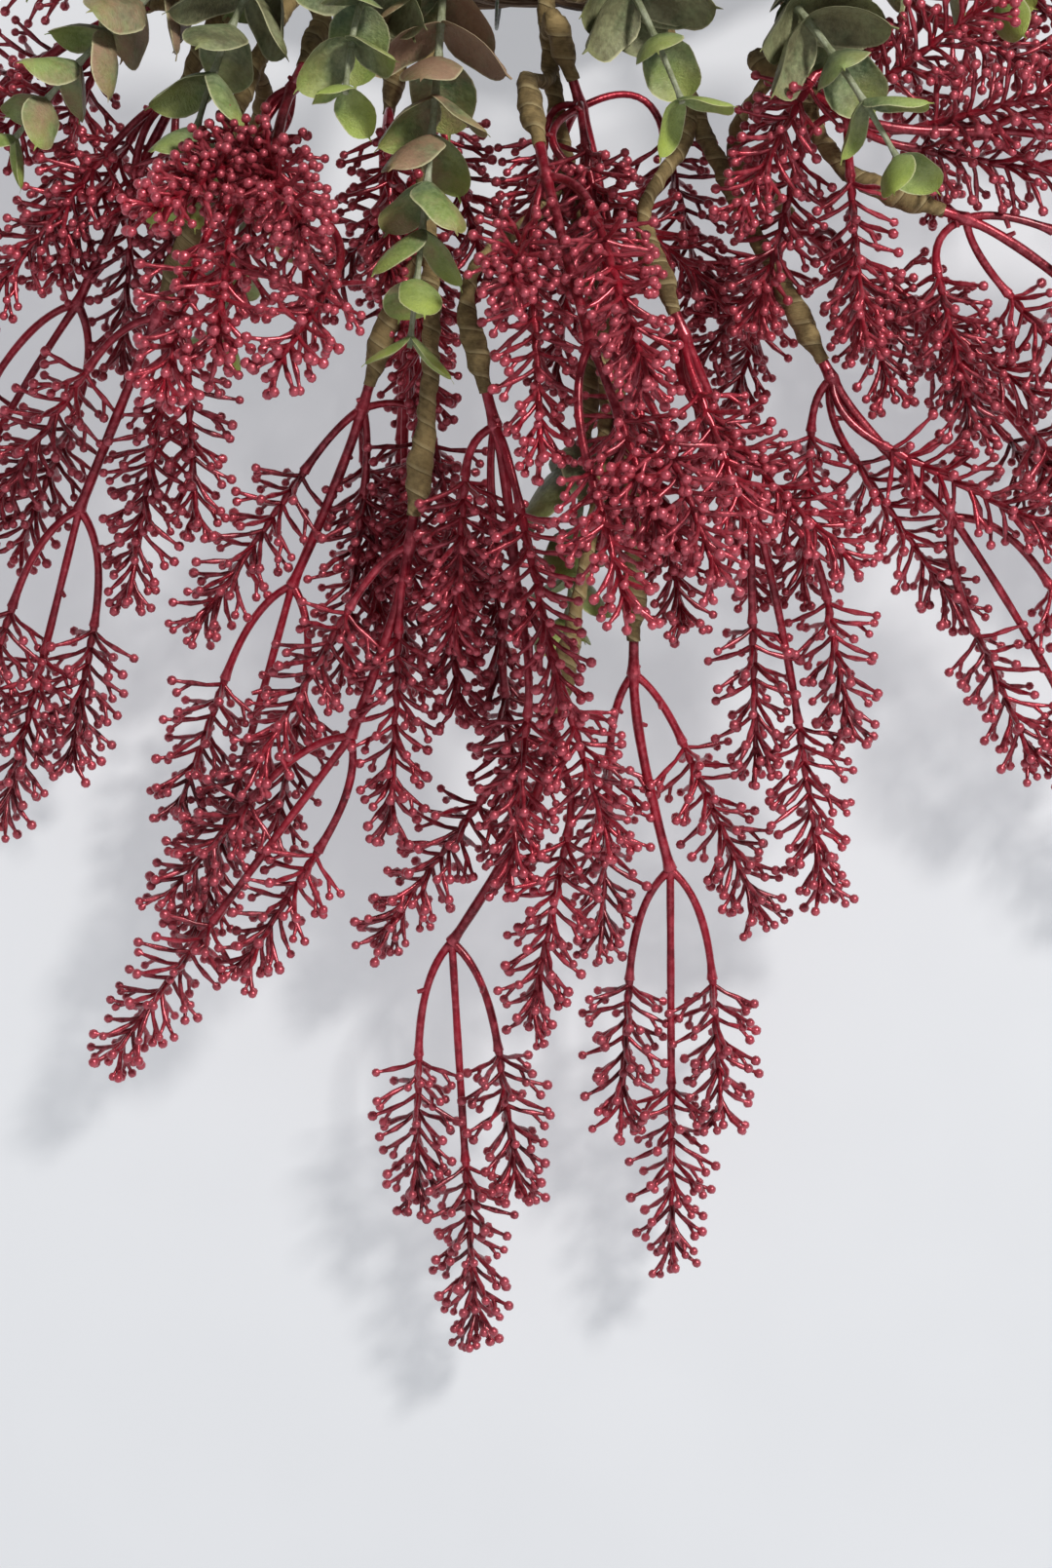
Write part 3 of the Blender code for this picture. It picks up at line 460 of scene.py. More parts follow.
def skinOf(rings, along, tone=0.5, share=0.0, around=None, poles=None, closed=False, look=0):
    # rings is shapes x stations x sides x 3: quads join each ring to the next, and a fan to a pole
    # closes each end, or the last ring joins the first when closed
    count, stations, sides = rings.shape[:3]
    index = np.arange(count * stations * sides).reshape(count, stations, sides)
    turned = np.roll(index, -1, axis=2)
    if closed:
        nextRing, nextTurned = np.roll(index, -1, axis=1), np.roll(turned, -1, axis=1)
        quads = np.stack([index, turned, nextTurned, nextRing], -1)
    else:
        quads = np.stack([index[:, :-1], turned[:, :-1], turned[:, 1:], index[:, 1:]], -1)
    along = np.broadcast_to(along, (count, stations))
    around = np.arange(sides + 1) / sides if around is None else around
    low = np.broadcast_to(along[:, :, None], index.shape)
    high = np.roll(low, -1, axis=1) if closed else low[:, 1:]
    low = low if closed else low[:, :-1]
    here, there = (np.broadcast_to(part, low.shape) for part in (around[:-1], around[1:]))
    uvs = [np.stack([here, low, there, low, there, high, here, high], -1).reshape(-1, 2)]
    marks = [np.broadcast_to(np.asarray(mark, float) if np.ndim(mark) != 1
                             else np.asarray(mark)[None, :, None], index.shape)
             for mark in (tone, share)]
    points = rings.reshape(-1, 3)
    triangles = np.zeros((0, 3), int)
    values = [mark.reshape(-1) for mark in marks]
    if not closed:
        if poles is None:
            poles = np.stack([rings[:, 0].mean(axis=1), rings[:, -1].mean(axis=1)], 1)
        first = index.size + np.repeat(np.arange(count), sides).reshape(count, sides)
        startFan = np.stack([turned[:, 0], index[:, 0], first], -1)
        endFan = np.stack([index[:, -1], turned[:, -1], first + count], -1)
        triangles = np.concatenate([startFan.reshape(-1, 3), endFan.reshape(-1, 3)])
        points = np.concatenate([points, poles[:, 0], poles[:, 1]])
        middle = (around[:-1] + around[1:]) / 2
        for station, order in ((0, (1, 0)), (-1, (0, 1))):
            level = np.broadcast_to(along[:, station, None], (count, sides))
            edge = [np.broadcast_to((around[:-1], around[1:])[pick], (count, sides)) for pick in order]
            centre = np.broadcast_to(middle, (count, sides))
            uvs.append(np.stack([edge[0], level, edge[1], level, centre, level], -1).reshape(-1, 2))
        values = [np.concatenate([value, mark[:, 0].mean(axis=1), mark[:, -1].mean(axis=1)])
                  for value, mark in zip(values, marks)]
    return {"points": points, "quads": quads.reshape(-1, 4), "triangles": triangles,
            "uvs": np.concatenate(uvs), "tone": values[0], "share": values[1], "look": look}


def makePiece(name, skins, looks, replaced=()):
    # joins the skins into one mesh with its UVs and its tone and share attributes
    faces, looksOf, start = [], [], 0
    for skin in skins:
        own = (skin["quads"] + start).tolist() + (skin["triangles"] + start).tolist()
        faces += own
        looksOf += [skin["look"]] * len(own)
        start += len(skin["points"])
    mesh = bpy.data.meshes.new(name)
    mesh.from_pydata(np.concatenate([skin["points"] for skin in skins]).tolist(), [], faces)
    for look in looks:
        mesh.materials.append(look)
    mesh.polygons.foreach_set("material_index", looksOf)
    layer = mesh.uv_layers.new(name="wrap")
    uvs = np.concatenate([skin["uvs"] for skin in skins])
    layer.data.foreach_set("uv", uvs.astype(np.float32).ravel())
    for mark in ("tone", "share"):
        attribute = mesh.attributes.new(mark, "FLOAT", "POINT")
        values = np.concatenate([skin[mark] for skin in skins])
        attribute.data.foreach_set("value", values.astype(np.float32))
    mesh.shade_smooth()
    mesh.set_sharp_from_angle(angle=math.radians(62))
    piece = bpy.data.objects.new(name, mesh)
    bpy.context.scene.collection.objects.link(piece)
    if replaced:
        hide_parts(*replaced)
    return piece


# node groups and finishes

def addNode(tree, kind, values=None, **settings):
    # a node with its settings; a value that is a socket is linked, any other is set
    node = tree.nodes.new(kind)
    for key, value in settings.items():
        setattr(node, key, value)
    for key, value in (values or {}).items():
        if isinstance(value, bpy.types.NodeSocket):
            tree.links.new(value, node.inputs[key])
        else:
            node.inputs[key].default_value = value
    return node


def calc(tree, operation, first, second=0.0):
    # one sum of two values or sockets
    node = addNode(tree, "ShaderNodeMath", {0: first, 1: second}, operation=operation)
    return node.outputs[0]


def spread(tree, value, low, high, toLow=0.0, toHigh=1.0):
    # maps low..high on to toLow..toHigh, held at both ends
    values = {"Value": value, "From Min": low, "From Max": high, "To Min": toLow, "To Max": toHigh}
    return addNode(tree, "ShaderNodeMapRange", values).outputs["Result"]


def plus(tree, first, second, share):
    # first + share x second
    return calc(tree, "ADD", first, calc(tree, "MULTIPLY", second, share))


def blendColours(tree, factor, first, second):
    # first (1 - factor) + second x factor
    return addNode(tree, "ShaderNodeMix", {0: factor, 6: first, 7: second}, data_type="RGBA").outputs[2]


def noiseOf(tree, vector, scale, detail=3.0, roughness=0.5, distortion=0.0):
    # noise over a vector, near 0.5 on average
    return addNode(tree, "ShaderNodeTexNoise", {
        "Vector": vector, "Scale": scale, "Detail": detail, "Roughness": roughness,
        "Distortion": distortion}).outputs[0]


def newGroup(name, inputs, outputs):
    # an empty node group with its named sockets
    group = bpy.data.node_groups.new(name, "ShaderNodeTree")
    for label, kind in inputs:
        group.interface.new_socket(name=label, in_out="INPUT", socket_type=kind)
    for label, kind in outputs:
        group.interface.new_socket(name=label, in_out="OUTPUT", socket_type=kind)
    source = group.nodes.new("NodeGroupInput")
    sink = group.nodes.new("NodeGroupOutput")
    return group, source.outputs, sink.inputs


def driftGroup():
    # two colours drift into one another over large soft patches with small flecks in them
    group, given, made = newGroup(
        "colourDrift",
        [("Vector", "NodeSocketVector"), ("Scale", "NodeSocketFloat"),
         ("Dark", "NodeSocketColor"), ("Light", "NodeSocketColor")],
        [("Color", "NodeSocketColor"), ("Mask", "NodeSocketFloat")])
    broad = noiseOf(group, given["Vector"], given["Scale"], 3.0, 0.6)
    finer = calc(group, "MULTIPLY", given["Scale"], 7.3)
    fleck = noiseOf(group, given["Vector"], finer, 2.0)
    share = plus(group, calc(group, "MULTIPLY", broad, 0.7), fleck, 0.3)
    mask = spread(group, share, 0.40, 0.60)
    group.links.new(mask, made["Mask"])
    group.links.new(blendColours(group, mask, given["Dark"], given["Light"]), made["Color"])
    return group


def wearGroup():
    # a mark from 0 to 1 broken up by noise, so that only its high places show
    group, given, made = newGroup(
        "rubbedPlaces",
        [("Vector", "NodeSocketVector"), ("Scale", "NodeSocketFloat"), ("Mark", "NodeSocketFloat"),
         ("Amount", "NodeSocketFloat")],
        [("Mask", "NodeSocketFloat")])
    noise = noiseOf(group, given["Vector"], given["Scale"], 4.0, 0.65)
    lifted = plus(group, noise, given["Mark"], 0.35)
    mask = calc(group, "MULTIPLY", spread(group, lifted, 0.55, 0.85), given["Amount"])
    group.links.new(mask, made["Mask"])
    return group


def streakGroup():
    # noise drawn out along the wrap's second direction, as grain, fibres or creases
    group, given, made = newGroup(
        "drawnGrain",
        [("Vector", "NodeSocketVector"), ("Stretch", "NodeSocketVector"),
         ("Scale", "NodeSocketFloat")],
        [("Mask", "NodeSocketFloat")])
    drawn = addNode(group, "ShaderNodeVectorMath", {0: given["Vector"], 1: given["Stretch"]},
                    operation="MULTIPLY")
    noise = noiseOf(group, drawn.outputs[0], given["Scale"], 5.0, 0.62, 0.4)
    group.links.new(spread(group, noise, 0.30, 0.70), made["Mask"])
    return group


colourDrift = driftGroup()
rubbedPlaces = wearGroup()
drawnGrain = streakGroup()


def useGroup(tree, group, values):
    # a node group placed in a material with that material's own values
    return addNode(tree, "ShaderNodeGroup", values, node_tree=group).outputs


def newLook(name, roughness, values):
    # a material whose constant values stand on the shader's own sockets
    look = bpy.data.materials.new(name)
    look.use_nodes = True
    tree = look.node_tree
    shader = tree.nodes["Principled BSDF"]
    shader.inputs["Roughness"].default_value = roughness
    for key, value in values.items():
        shader.inputs[key].default_value = value
    coordinates = tree.nodes.new("ShaderNodeTexCoord").outputs
    return look, tree, shader.inputs, coordinates


def readMark(tree, name):
    # a piece's own tone or share, from 0 to 1
    return addNode(tree, "ShaderNodeAttribute", attribute_name=name).outputs["Fac"]


def driftOf(tree, where, rule, dark, light):
    # two colours of a rule drift into one another at the rule's own scale
    return useGroup(tree, colourDrift, {"Vector": where["Object"], "Scale": rule["drift"],
                                        "Dark": rule[dark], "Light": rule[light]})


def grainOf(tree, vector, stretch, scale=1.0):
    # drawn-out noise as a mask, stretched by one number each way
    return useGroup(tree, drawnGrain, {"Vector": vector, "Stretch": (*stretch, 1.0),
                                       "Scale": scale})["Mask"]


def rubbedOf(tree, where, scale, mark, amount):
    # broken-up high places of a mark
    return useGroup(tree, rubbedPlaces, {"Vector": where["Object"], "Scale": scale, "Mark": mark,
                                         "Amount": amount})["Mask"]


def tinted(tree, colour, tint, mark, limits):
    # mixes a tint in; limits are the mark's low and high and the tint's share at each
    return blendColours(tree, spread(tree, mark, *limits), colour, tint)


def finishLook(tree, inputs, rule, colour, mark, height):
    # base colour, roughness from rough[0] to rough[1] along a mark, and a relief of strength, depth
    tree.links.new(colour, inputs["Base Color"])
    tree.links.new(spread(tree, mark, 0, 1, *rule["rough"]), inputs["Roughness"])
    bump = addNode(tree, "ShaderNodeBump", {"Height": height, "Strength": rule["relief"][0],
                                            "Distance": rule["relief"][1]})
    tree.links.new(bump.outputs[0], inputs["Normal"])


# the deep colour is painted shade on heads near the door; the rubbed pink is partly worn paint and
# partly a painted highlight, and it also paints light on heads in front
plumRule = {
    "deep": (0.040, 0.001, 0.004, 1), "body": (0.145, 0.003, 0.011, 1),
    "bright": (0.36, 0.010, 0.028, 1), "rubbedAndHighlit": (0.66, 0.12, 0.16, 1),
    "drift": 38.0, "shadeAt": (0.60, 0.12, 0.0, 0.92), "rub": (420.0, 0.60),
    "paintedLightAt": (0.70, 1.0, 0.0, 0.12), "pits": 1500.0, "rough": (0.42, 0.30), "relief": (0.35, 0.0003),
}


def plumPlastic():
    # satin moulded plastic: the body colour drifts; the tone mark paints shade on heads near the door
    # and light on heads in front; raised places turn pink, partly rubbed paint and partly a painted
    # highlight
    rule = plumRule
    look, tree, inputs, where = newLook("plumPlastic", 0.4, {
        "Metallic": 0.45, "Coat Weight": 0.3, "Coat Roughness": 0.2, "Specular IOR Level": 0.45})
    tone, share = readMark(tree, "tone"), readMark(tree, "share")
    drift = driftOf(tree, where, rule, "body", "bright")
    # painted shade: where the tone mark is low, on heads near the door, the deep colour stands in for
    # shade
    paintedShadeColour = tinted(tree, drift["Color"], rule["deep"], tone, rule["shadeAt"])
    # pink on balls and knobs: partly rubbed paint, partly a painted highlight
    rubbedAndHighlit = rubbedOf(tree, where, rule["rub"][0], share, rule["rub"][1])
    # painted light: a high tone mark, on heads in front, adds the pink as light falling on them
    paintedLightAndRub = calc(tree, "ADD", rubbedAndHighlit, spread(tree, tone, *rule["paintedLightAt"]))
    colour = blendColours(tree, paintedLightAndRub, paintedShadeColour, rule["rubbedAndHighlit"])
    pits = noiseOf(tree, where["Object"], rule["pits"])
    finishLook(tree, inputs, rule, colour, drift["Mask"], pits)
    return look


tapeRule = {
    "dark": (0.105, 0.070, 0.026, 1), "light": (0.34, 0.245, 0.105, 1), "edge": (0.50, 0.40, 0.21, 1),
    "pitch": 0.0065, "drift": 90.0, "creases": (9.0, 260.0), "creaseAt": (0, 1, 0.0, 0.45),
    "fibres": (34.0, 420.0), "fibreScale": 1.3, "fibreAt": (0.45, 0.95, 0.0, 0.35),
    "lipAt": (0.80, 0.97, 0.0, 0.65), "seamAt": (0.09, 0.0, 0.0, 0.75), "fibreHeight": 0.5,
    "rough": (0.82, 0.58), "relief": (0.7, 0.0005),
}


def creasedTape():
    # waxed paper tape wound in a spiral: fine creases across it and a paler edge at each overlap
    rule = tapeRule
    look, tree, inputs, where = newLook("creasedTape", 0.7, {"Specular IOR Level": 0.35})
    parts = addNode(tree, "ShaderNodeSeparateXYZ", {0: where["UV"]}).outputs
    turns = calc(tree, "ADD", calc(tree, "DIVIDE", parts["Y"], rule["pitch"]), parts["X"])
    wrap = calc(tree, "FRACT", turns)
    slanted = addNode(tree, "ShaderNodeCombineXYZ", {"X": turns, "Y": parts["Y"]}).outputs[0]
    creases = grainOf(tree, slanted, rule["creases"])
    fibres = grainOf(tree, slanted, rule["fibres"], rule["fibreScale"])
    colour = driftOf(tree, where, rule, "dark", "light")["Color"]
    colour = tinted(tree, colour, rule["light"], creases, rule["creaseAt"])
    colour = tinted(tree, colour, rule["dark"], fibres, rule["fibreAt"])
    lip = spread(tree, wrap, *rule["lipAt"])
    colour = blendColours(tree, lip, colour, rule["edge"])
    colour = tinted(tree, colour, rule["dark"], wrap, rule["seamAt"])
    height = calc(tree, "ADD", plus(tree, creases, fibres, rule["fibreHeight"]), lip)
    finishLook(tree, inputs, rule, colour, creases, height)
    return look


leafRule = {
    "deep": (0.062, 0.110, 0.044, 1), "sage": (0.255, 0.325, 0.165, 1), "lime": (0.42, 0.52, 0.085, 1),
    "blush": (0.42, 0.215, 0.150, 1), "rim": (0.66, 0.64, 0.38, 1), "rib": (0.42, 0.45, 0.32, 1),
    "drift": 95.0, "limeAlong": 0.55, "limeTone": 0.6, "limePatch": (130.0, 0.5),
    "limeAt": (0.72, 1.35, 0.0, 0.8), "flush": 75.0, "ribAt": (0.22, 0.02, 0.0, 0.35),
    "veins": (14.0, 30.0), "veinAt": (0.5, 1.0, 0.0, 0.30), "rimAt": (0.93, 1.0, 0.0, 0.8),
    "grit": (900.0, 0.4), "rough": (0.56, 0.42), "relief": (0.5, 0.0004),
}


def leafSkin(name, blush):
    # tone runs from plain green to lime and blush; share is 0 on the midrib and 1 on the rim
    rule = leafRule
    look, tree, inputs, where = newLook(name, 0.5, {"Coat Weight": 0.12, "Coat Roughness": 0.4})
    tone, share = readMark(tree, "tone"), readMark(tree, "share")
    parts = addNode(tree, "ShaderNodeSeparateXYZ", {0: where["UV"]}).outputs
    drift = driftOf(tree, where, rule, "deep", "sage")
    limeness = plus(tree, calc(tree, "MULTIPLY", parts["Y"], rule["limeAlong"]), tone, rule["limeTone"])
    patches = noiseOf(tree, where["Object"], rule["limePatch"][0])
    limeness = plus(tree, limeness, patches, rule["limePatch"][1])
    colour = tinted(tree, drift["Color"], rule["lime"], limeness, rule["limeAt"])
    flush = rubbedOf(tree, where, rule["flush"], calc(tree, "SUBTRACT", 1.0, tone), blush)
    colour = blendColours(tree, flush, colour, rule["blush"])
    colour = tinted(tree, colour, rule["rib"], share, rule["ribAt"])
    veins = grainOf(tree, where["UV"], rule["veins"])
    colour = tinted(tree, colour, rule["deep"], veins, rule["veinAt"])
    colour = tinted(tree, colour, rule["rim"], share, rule["rimAt"])
    grit = noiseOf(tree, where["Object"], rule["grit"][0])
    finishLook(tree, inputs, rule, colour, drift["Mask"], plus(tree, veins, grit, rule["grit"][1]))
    return look


sprigBarkRule = {
    "dark": (0.20, 0.22, 0.12, 1), "pale": (0.42, 0.45, 0.32, 1), "drift": 160.0,
    "streaks": (9.0, 140.0), "streakAt": (0.3, 1.0, 0.0, 0.6), "rough": (0.65, 0.45),
    "relief": (0.5, 0.0005),
}


def sprigBark():
    # grey-green moulded stem with darker streaks along it
    rule = sprigBarkRule
    look, tree, inputs, where = newLook("sprigBark", 0.55, {})
    streaks = grainOf(tree, where["UV"], rule["streaks"])
    colour = driftOf(tree, where, rule, "dark", "pale")["Color"]
    colour = tinted(tree, colour, rule["dark"], streaks, rule["streakAt"])
    finishLook(tree, inputs, rule, colour, streaks, streaks)
    return look


barkRule = {
    "dark": (0.030, 0.019, 0.012, 1), "mid": (0.125, 0.075, 0.042, 1), "pale": (0.36, 0.26, 0.165, 1),
    "drift": 26.0, "furrows": (11.0, 34.0), "threads": (36.0, 90.0), "threadScale": 1.2,
    "ridgeAt": (0.25, 0.75), "peelThread": 0.6, "peelFurrow": 0.5, "peelTone": 0.35,
    "peelAt": (0.78, 1.10, 0.0, 0.8), "deepAt": (0.30, 0.10, 0.0, 0.8), "threadHeight": 0.45,
    "rough": (0.92, 0.72), "relief": (0.9, 0.0011),
}


def vineBark():
    # dry vine: long dark furrows, tan ridges and strips of pale peeling bark
    rule = barkRule
    look, tree, inputs, where = newLook("vineBark", 0.85, {"Specular IOR Level": 0.3})
    tone = readMark(tree, "tone")
    furrows = grainOf(tree, where["UV"], rule["furrows"])
    threads = grainOf(tree, where["UV"], rule["threads"], rule["threadScale"])
    colour = driftOf(tree, where, rule, "dark", "mid")["Color"]
    colour = tinted(tree, colour, rule["mid"], furrows, rule["ridgeAt"])
    peel = plus(tree, calc(tree, "MULTIPLY", threads, rule["peelThread"]), furrows, rule["peelFurrow"])
    peel = plus(tree, peel, tone, rule["peelTone"])
    colour = tinted(tree, colour, rule["pale"], peel, rule["peelAt"])
    colour = tinted(tree, colour, rule["dark"], furrows, rule["deepAt"])
    height = plus(tree, furrows, threads, rule["threadHeight"])
    finishLook(tree, inputs, rule, colour, threads, height)
    return look


enamelRule = {
    "dark": (0.012, 0.028, 0.010, 1), "light": (0.045, 0.080, 0.030, 1), "steel": (0.34, 0.33, 0.30, 1),
    "drift": 120.0, "chips": (650.0, 0.25, 0.9), "streaks": (6.0, 300.0), "rough": (0.48, 0.32),
    "relief": (0.25, 0.0002),
}


def wireEnamel():
    # green enamelled wire with small chips down to the steel
    rule = enamelRule
    look, tree, inputs, where = newLook("wireEnamel", 0.4, {"Coat Weight": 0.3, "Coat Roughness": 0.25})
    drift = driftOf(tree, where, rule, "dark", "light")
    chips = rubbedOf(tree, where, *rule["chips"])
    colour = blendColours(tree, chips, drift["Color"], rule["steel"])
    tree.links.new(chips, inputs["Metallic"])
    streaks = grainOf(tree, where["UV"], rule["streaks"])
    finishLook(tree, inputs, rule, colour, drift["Mask"], streaks)
    return look


plum, tape, sprigSkin = plumPlastic(), creasedTape(), sprigBark()
greenLeaf, flushedLeaf = leafSkin("greenLeaf", 0.22), leafSkin("flushedLeaf", 0.72)
bark, enamel = vineBark(), wireEnamel()
print("finishes made")


# the ring

vineLook = {
    "stems": 3, "stemRadius": 0.0031, "stemOrbit": 0.0036, "twist": 0.11, "steps": 330, "sides": 10,
    "ridge": 0.00022, "knotEvery": 0.071, "knotLift": 0.00035, "tendrils": 2,
}
tendrilLook = {"turns": 2.6, "coil": 0.0042, "out": 0.016, "ahead": 0.024, "radius": 0.0009,
               "thinning": 0.0006, "steps": 60}


def vineStem(path, radius, dice, sides=10):
    # r (1 + wander) + knots + ridges: knots swell at even distances and the ridges wind round
    span = spanOf(path)
    angle = 2 * math.pi * np.arange(sides) / sides
    start = dice.uniform(0, 6.28, 4)
    knot = np.exp(-((((span + start[0] * 0.01) / vineLook["knotEvery"]) % 1 - 0.5) / 0.045) ** 2)
    ridges = (np.sin(3 * angle + 26 * span[:, None] + start[1])
              + 0.7 * np.sin(5 * angle - 61 * span[:, None] + start[2])
              + 0.5 * np.sin(2 * angle + 240 * span[:, None] + start[3]))
    wander = 0.05 * np.sin(span * 95 + start[3]) + 0.04 * np.sin(span * 233 + start[1])
    relief = ridges * vineLook["ridge"] * (radius / vineLook["stemRadius"])
    size = radius * (1 + wander) + knot * vineLook["knotLift"]
    return skinOf(tubeRings(path, size, sides, relief), span, tone=dice.uniform(0.1, 0.9))


def tendril(along, section, dice):
    # a corkscrew whose radius grows as it leaves the bundle
    root = onRing(along, section, bundleRadius - 0.003)
    out = unit(onRing(along, section, bundleRadius + 0.02) - root)
    ahead = unit(onRing(along + 1, section, bundleRadius) - onRing(along, section, bundleRadius))
    look = tendrilLook
    t = np.linspace(0, 1, look["steps"])[:, None]
    spin = 2 * math.pi * (look["turns"] * t) + dice.uniform(0, 6)
    coil = look["coil"] * t * (1.25 - t)
    side = np.cross(out, ahead)
    path = root + out * look["out"] * t ** 0.7 + ahead * look["ahead"] * t
    path = path + coil * (np.cos(spin) * side + np.sin(spin) * out)
    radii = look["radius"] - look["thinning"] * t[:, 0]
    return skinOf(tubeRings(path, radii, 6), spanOf(path), tone=dice.uniform(0.3, 0.9))


def vineSkins(number):
    # three thin stems twist round the strand's own helix; their cut ends are staggered
    dice = np.random.default_rng(40 + number)
    openAt = 150 + 37 * number
    gap = math.degrees(ring["endGap"] / ringRadius)
    along = np.linspace(openAt + gap / 2, openAt + 360 - gap / 2, vineLook["steps"])
    centre = onRing(along, 360 * number / ring["strands"] + ring["turns"] * along, strandOrbit)
    ahead, side, up = runFrames(centre)
    span = spanOf(centre)
    skins = []
    for stem in range(vineLook["stems"]):
        turn = (2 * math.pi * (stem / vineLook["stems"] + span / vineLook["twist"]))[:, None]
        path = centre + vineLook["stemOrbit"] * (np.cos(turn) * side + np.sin(turn) * up)
        cut = dice.integers(0, 5, 2)
        path = path[cut[0]:len(path) - cut[1]]
        skins.append(vineStem(path, vineLook["stemRadius"], dice))
    for count in range(vineLook["tendrils"]):
        spot = (62 + 50 * count + 9 * number) * (1 if (number + count) % 2 else -1)
        skins.append(tendril(spot, dice.uniform(-75, 75), dice))
    return skins


for number in range(ring["strands"]):
    piece = makePiece(f"vineStrand{number + 1}", vineSkins(number), [bark],
                      [f"vine_{number + 1}"])
    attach(piece, "ring")

for sideName, sign in (("left", -1), ("right", 1)):
    along = np.linspace(binder["from"], binder["to"], binder["steps"]) * sign
    section = np.linspace(0, 360 * binder["turns"], binder["steps"])
    path = onRing(along, section, binderOrbit)
    skins = [vineStem(path, binder["radius"] * 0.94, np.random.default_rng(60 + sign), sides=8)]
    piece = makePiece(f"bindingVine{sideName.title()}", skins, [bark],
                      [f"binding_vine_{sideName}"])
    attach(piece, "ring")
print("vines made")


# the wire loop and the ties

hanger = {"wire": 0.0012, "eye": 0.0050, "spliceTurns": 7, "spliceWire": 0.0006}
tie = {"wire": 0.0005, "spots": (-13, -4.5, 4.5, 13), "tag": 0.011}


def hangerSkins():
    # a long arc round the bundle, straight sides and a small arc at the hook, with a wound splice
    low = np.array([0.0, 0.0, -ring["hangerDrop"]])
    high = np.array([0.0, 0.0, -hanger["eye"] + hanger["wire"]])
    orbit = (bundleRadius + ring["touchGap"] + hanger["wire"]) / math.cos(math.pi / 20)
    slope = math.asin((orbit - hanger["eye"]) / (ring["hangerDrop"] - hanger["eye"]))
    under = np.linspace(slope, -math.pi - slope, 72)
    over = np.linspace(math.pi - slope, slope, 30)
    lower = low + orbit * np.stack([0 * under, np.cos(under), np.sin(under)], 1)
    upper = high + hanger["eye"] * np.stack([0 * over, np.cos(over), np.sin(over)], 1)
    sides = np.linspace(0, 1, 10)[1:-1, None]
    back = lower[-1] + (upper[0] - lower[-1]) * sides
    front = upper[-1] + (lower[0] - upper[-1]) * sides
    loop = np.vstack([lower, back, upper, front])
    span = spanOf(loop)
    skins = [skinOf(tubeRings(loop, hanger["wire"], 12), span, closed=True)]
    t = np.linspace(0, 1, 120)[:, None]
    leg = front[1] + (front[-2] - front[1]) * (0.15 + 0.5 * t)
    ahead = unit(front[-2] - front[1])
    across = np.array([1.0, 0.0, 0.0])
    other = np.cross(ahead, across)
    spin = 2 * math.pi * hanger["spliceTurns"] * t
    reach = hanger["wire"] + hanger["spliceWire"] * 0.8
    coil = leg + reach * (np.cos(spin) * across + np.sin(spin) * other)
    skins.append(skinOf(tubeRings(coil, hanger["spliceWire"], 7), spanOf(coil)))
    return skins


def tieSkins(along):
    # a loop whose distance from the ring's centre line swells in front, and its twisted tag
    section = np.linspace(0, 360, 96, endpoint=False)
    back = bundleRadius + ring["touchGap"] + tie["wire"]
    front = laneOrbit + tail["radius"] + ring["touchGap"] + tie["wire"]
    swell = np.clip((np.cos(np.radians(section)) + 0.35) / 0.75, 0, 1)
    loop = onRing(along, section, (back + (front - back) * swell) / math.cos(math.pi / 20))
    skins = [skinOf(tubeRings(loop, tie["wire"], 8), spanOf(loop), closed=True)]
    t = np.linspace(0, 1, 60)
    for half in (0, 1):
        spin = 2 * math.pi * (4 * t + half / 2)
        lift = back + 0.0006 + 0.0004 * np.cos(spin)
        path = onRing(along + np.degrees(tie["tag"] / ringRadius) * t,
                      -104 + 1.6 * np.sin(spin), lift / math.cos(math.pi / 20))
        skins.append(skinOf(tubeRings(path, tie["wire"] * 0.9, 6), spanOf(path)))
    return skins


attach(makePiece("hangerWire", hangerSkins(), [enamel], ["hanger_loop"]), "hanger")
for order, along in enumerate(tie["spots"]):
    piece = makePiece(f"wireTie{order + 1}", tieSkins(along), [enamel],
                      [f"tie_{order + 1}"])
    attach(piece, "ring")
print("wires made")


# taped stems

tapeLook = {
    "step": 0.0013, "sides": 16, "lift": 0.00028, "lumps": 0.00024, "bulge": 0.0035, "overrun": 0.0065,
    "stalkGrip": 0.00175, "sprigGrip": 0.00135, "collar": (-0.0075, 0.0095), "collarRadius": 0.0022,
    "collarSwell": 0.00085, "blendReach": 0.007,
}


def tapedTube(path, radii, dice, begin=0.0):
    # r + lift x wrap + lumps, where wrap = fraction of (distance / pitch + angle / turn)
    sides = tapeLook["sides"]
    span = spanOf(path) + begin
    angle = np.arange(sides) / sides
    wrap = (span[:, None] / tapeRule["pitch"] + angle) % 1
    phase = dice.uniform(0, 6.28, 3)
    lumps = (np.sin(span[:, None] * 390 + 6.28 * angle + phase[0])
             + 0.8 * np.sin(span[:, None] * 870 - 12.57 * angle + phase[1])
             + 0.5 * np.sin(span[:, None] * 1490 + 18.85 * angle + phase[2]))
    relief = tapeLook["lift"] * wrap ** 2 + tapeLook["lumps"] * lumps
    relief = relief * np.minimum(1, np.asarray(radii)[:, None] / 0.0024)
    return skinOf(tubeRings(path, radii, sides, relief), span, tone=dice.uniform(0, 1))


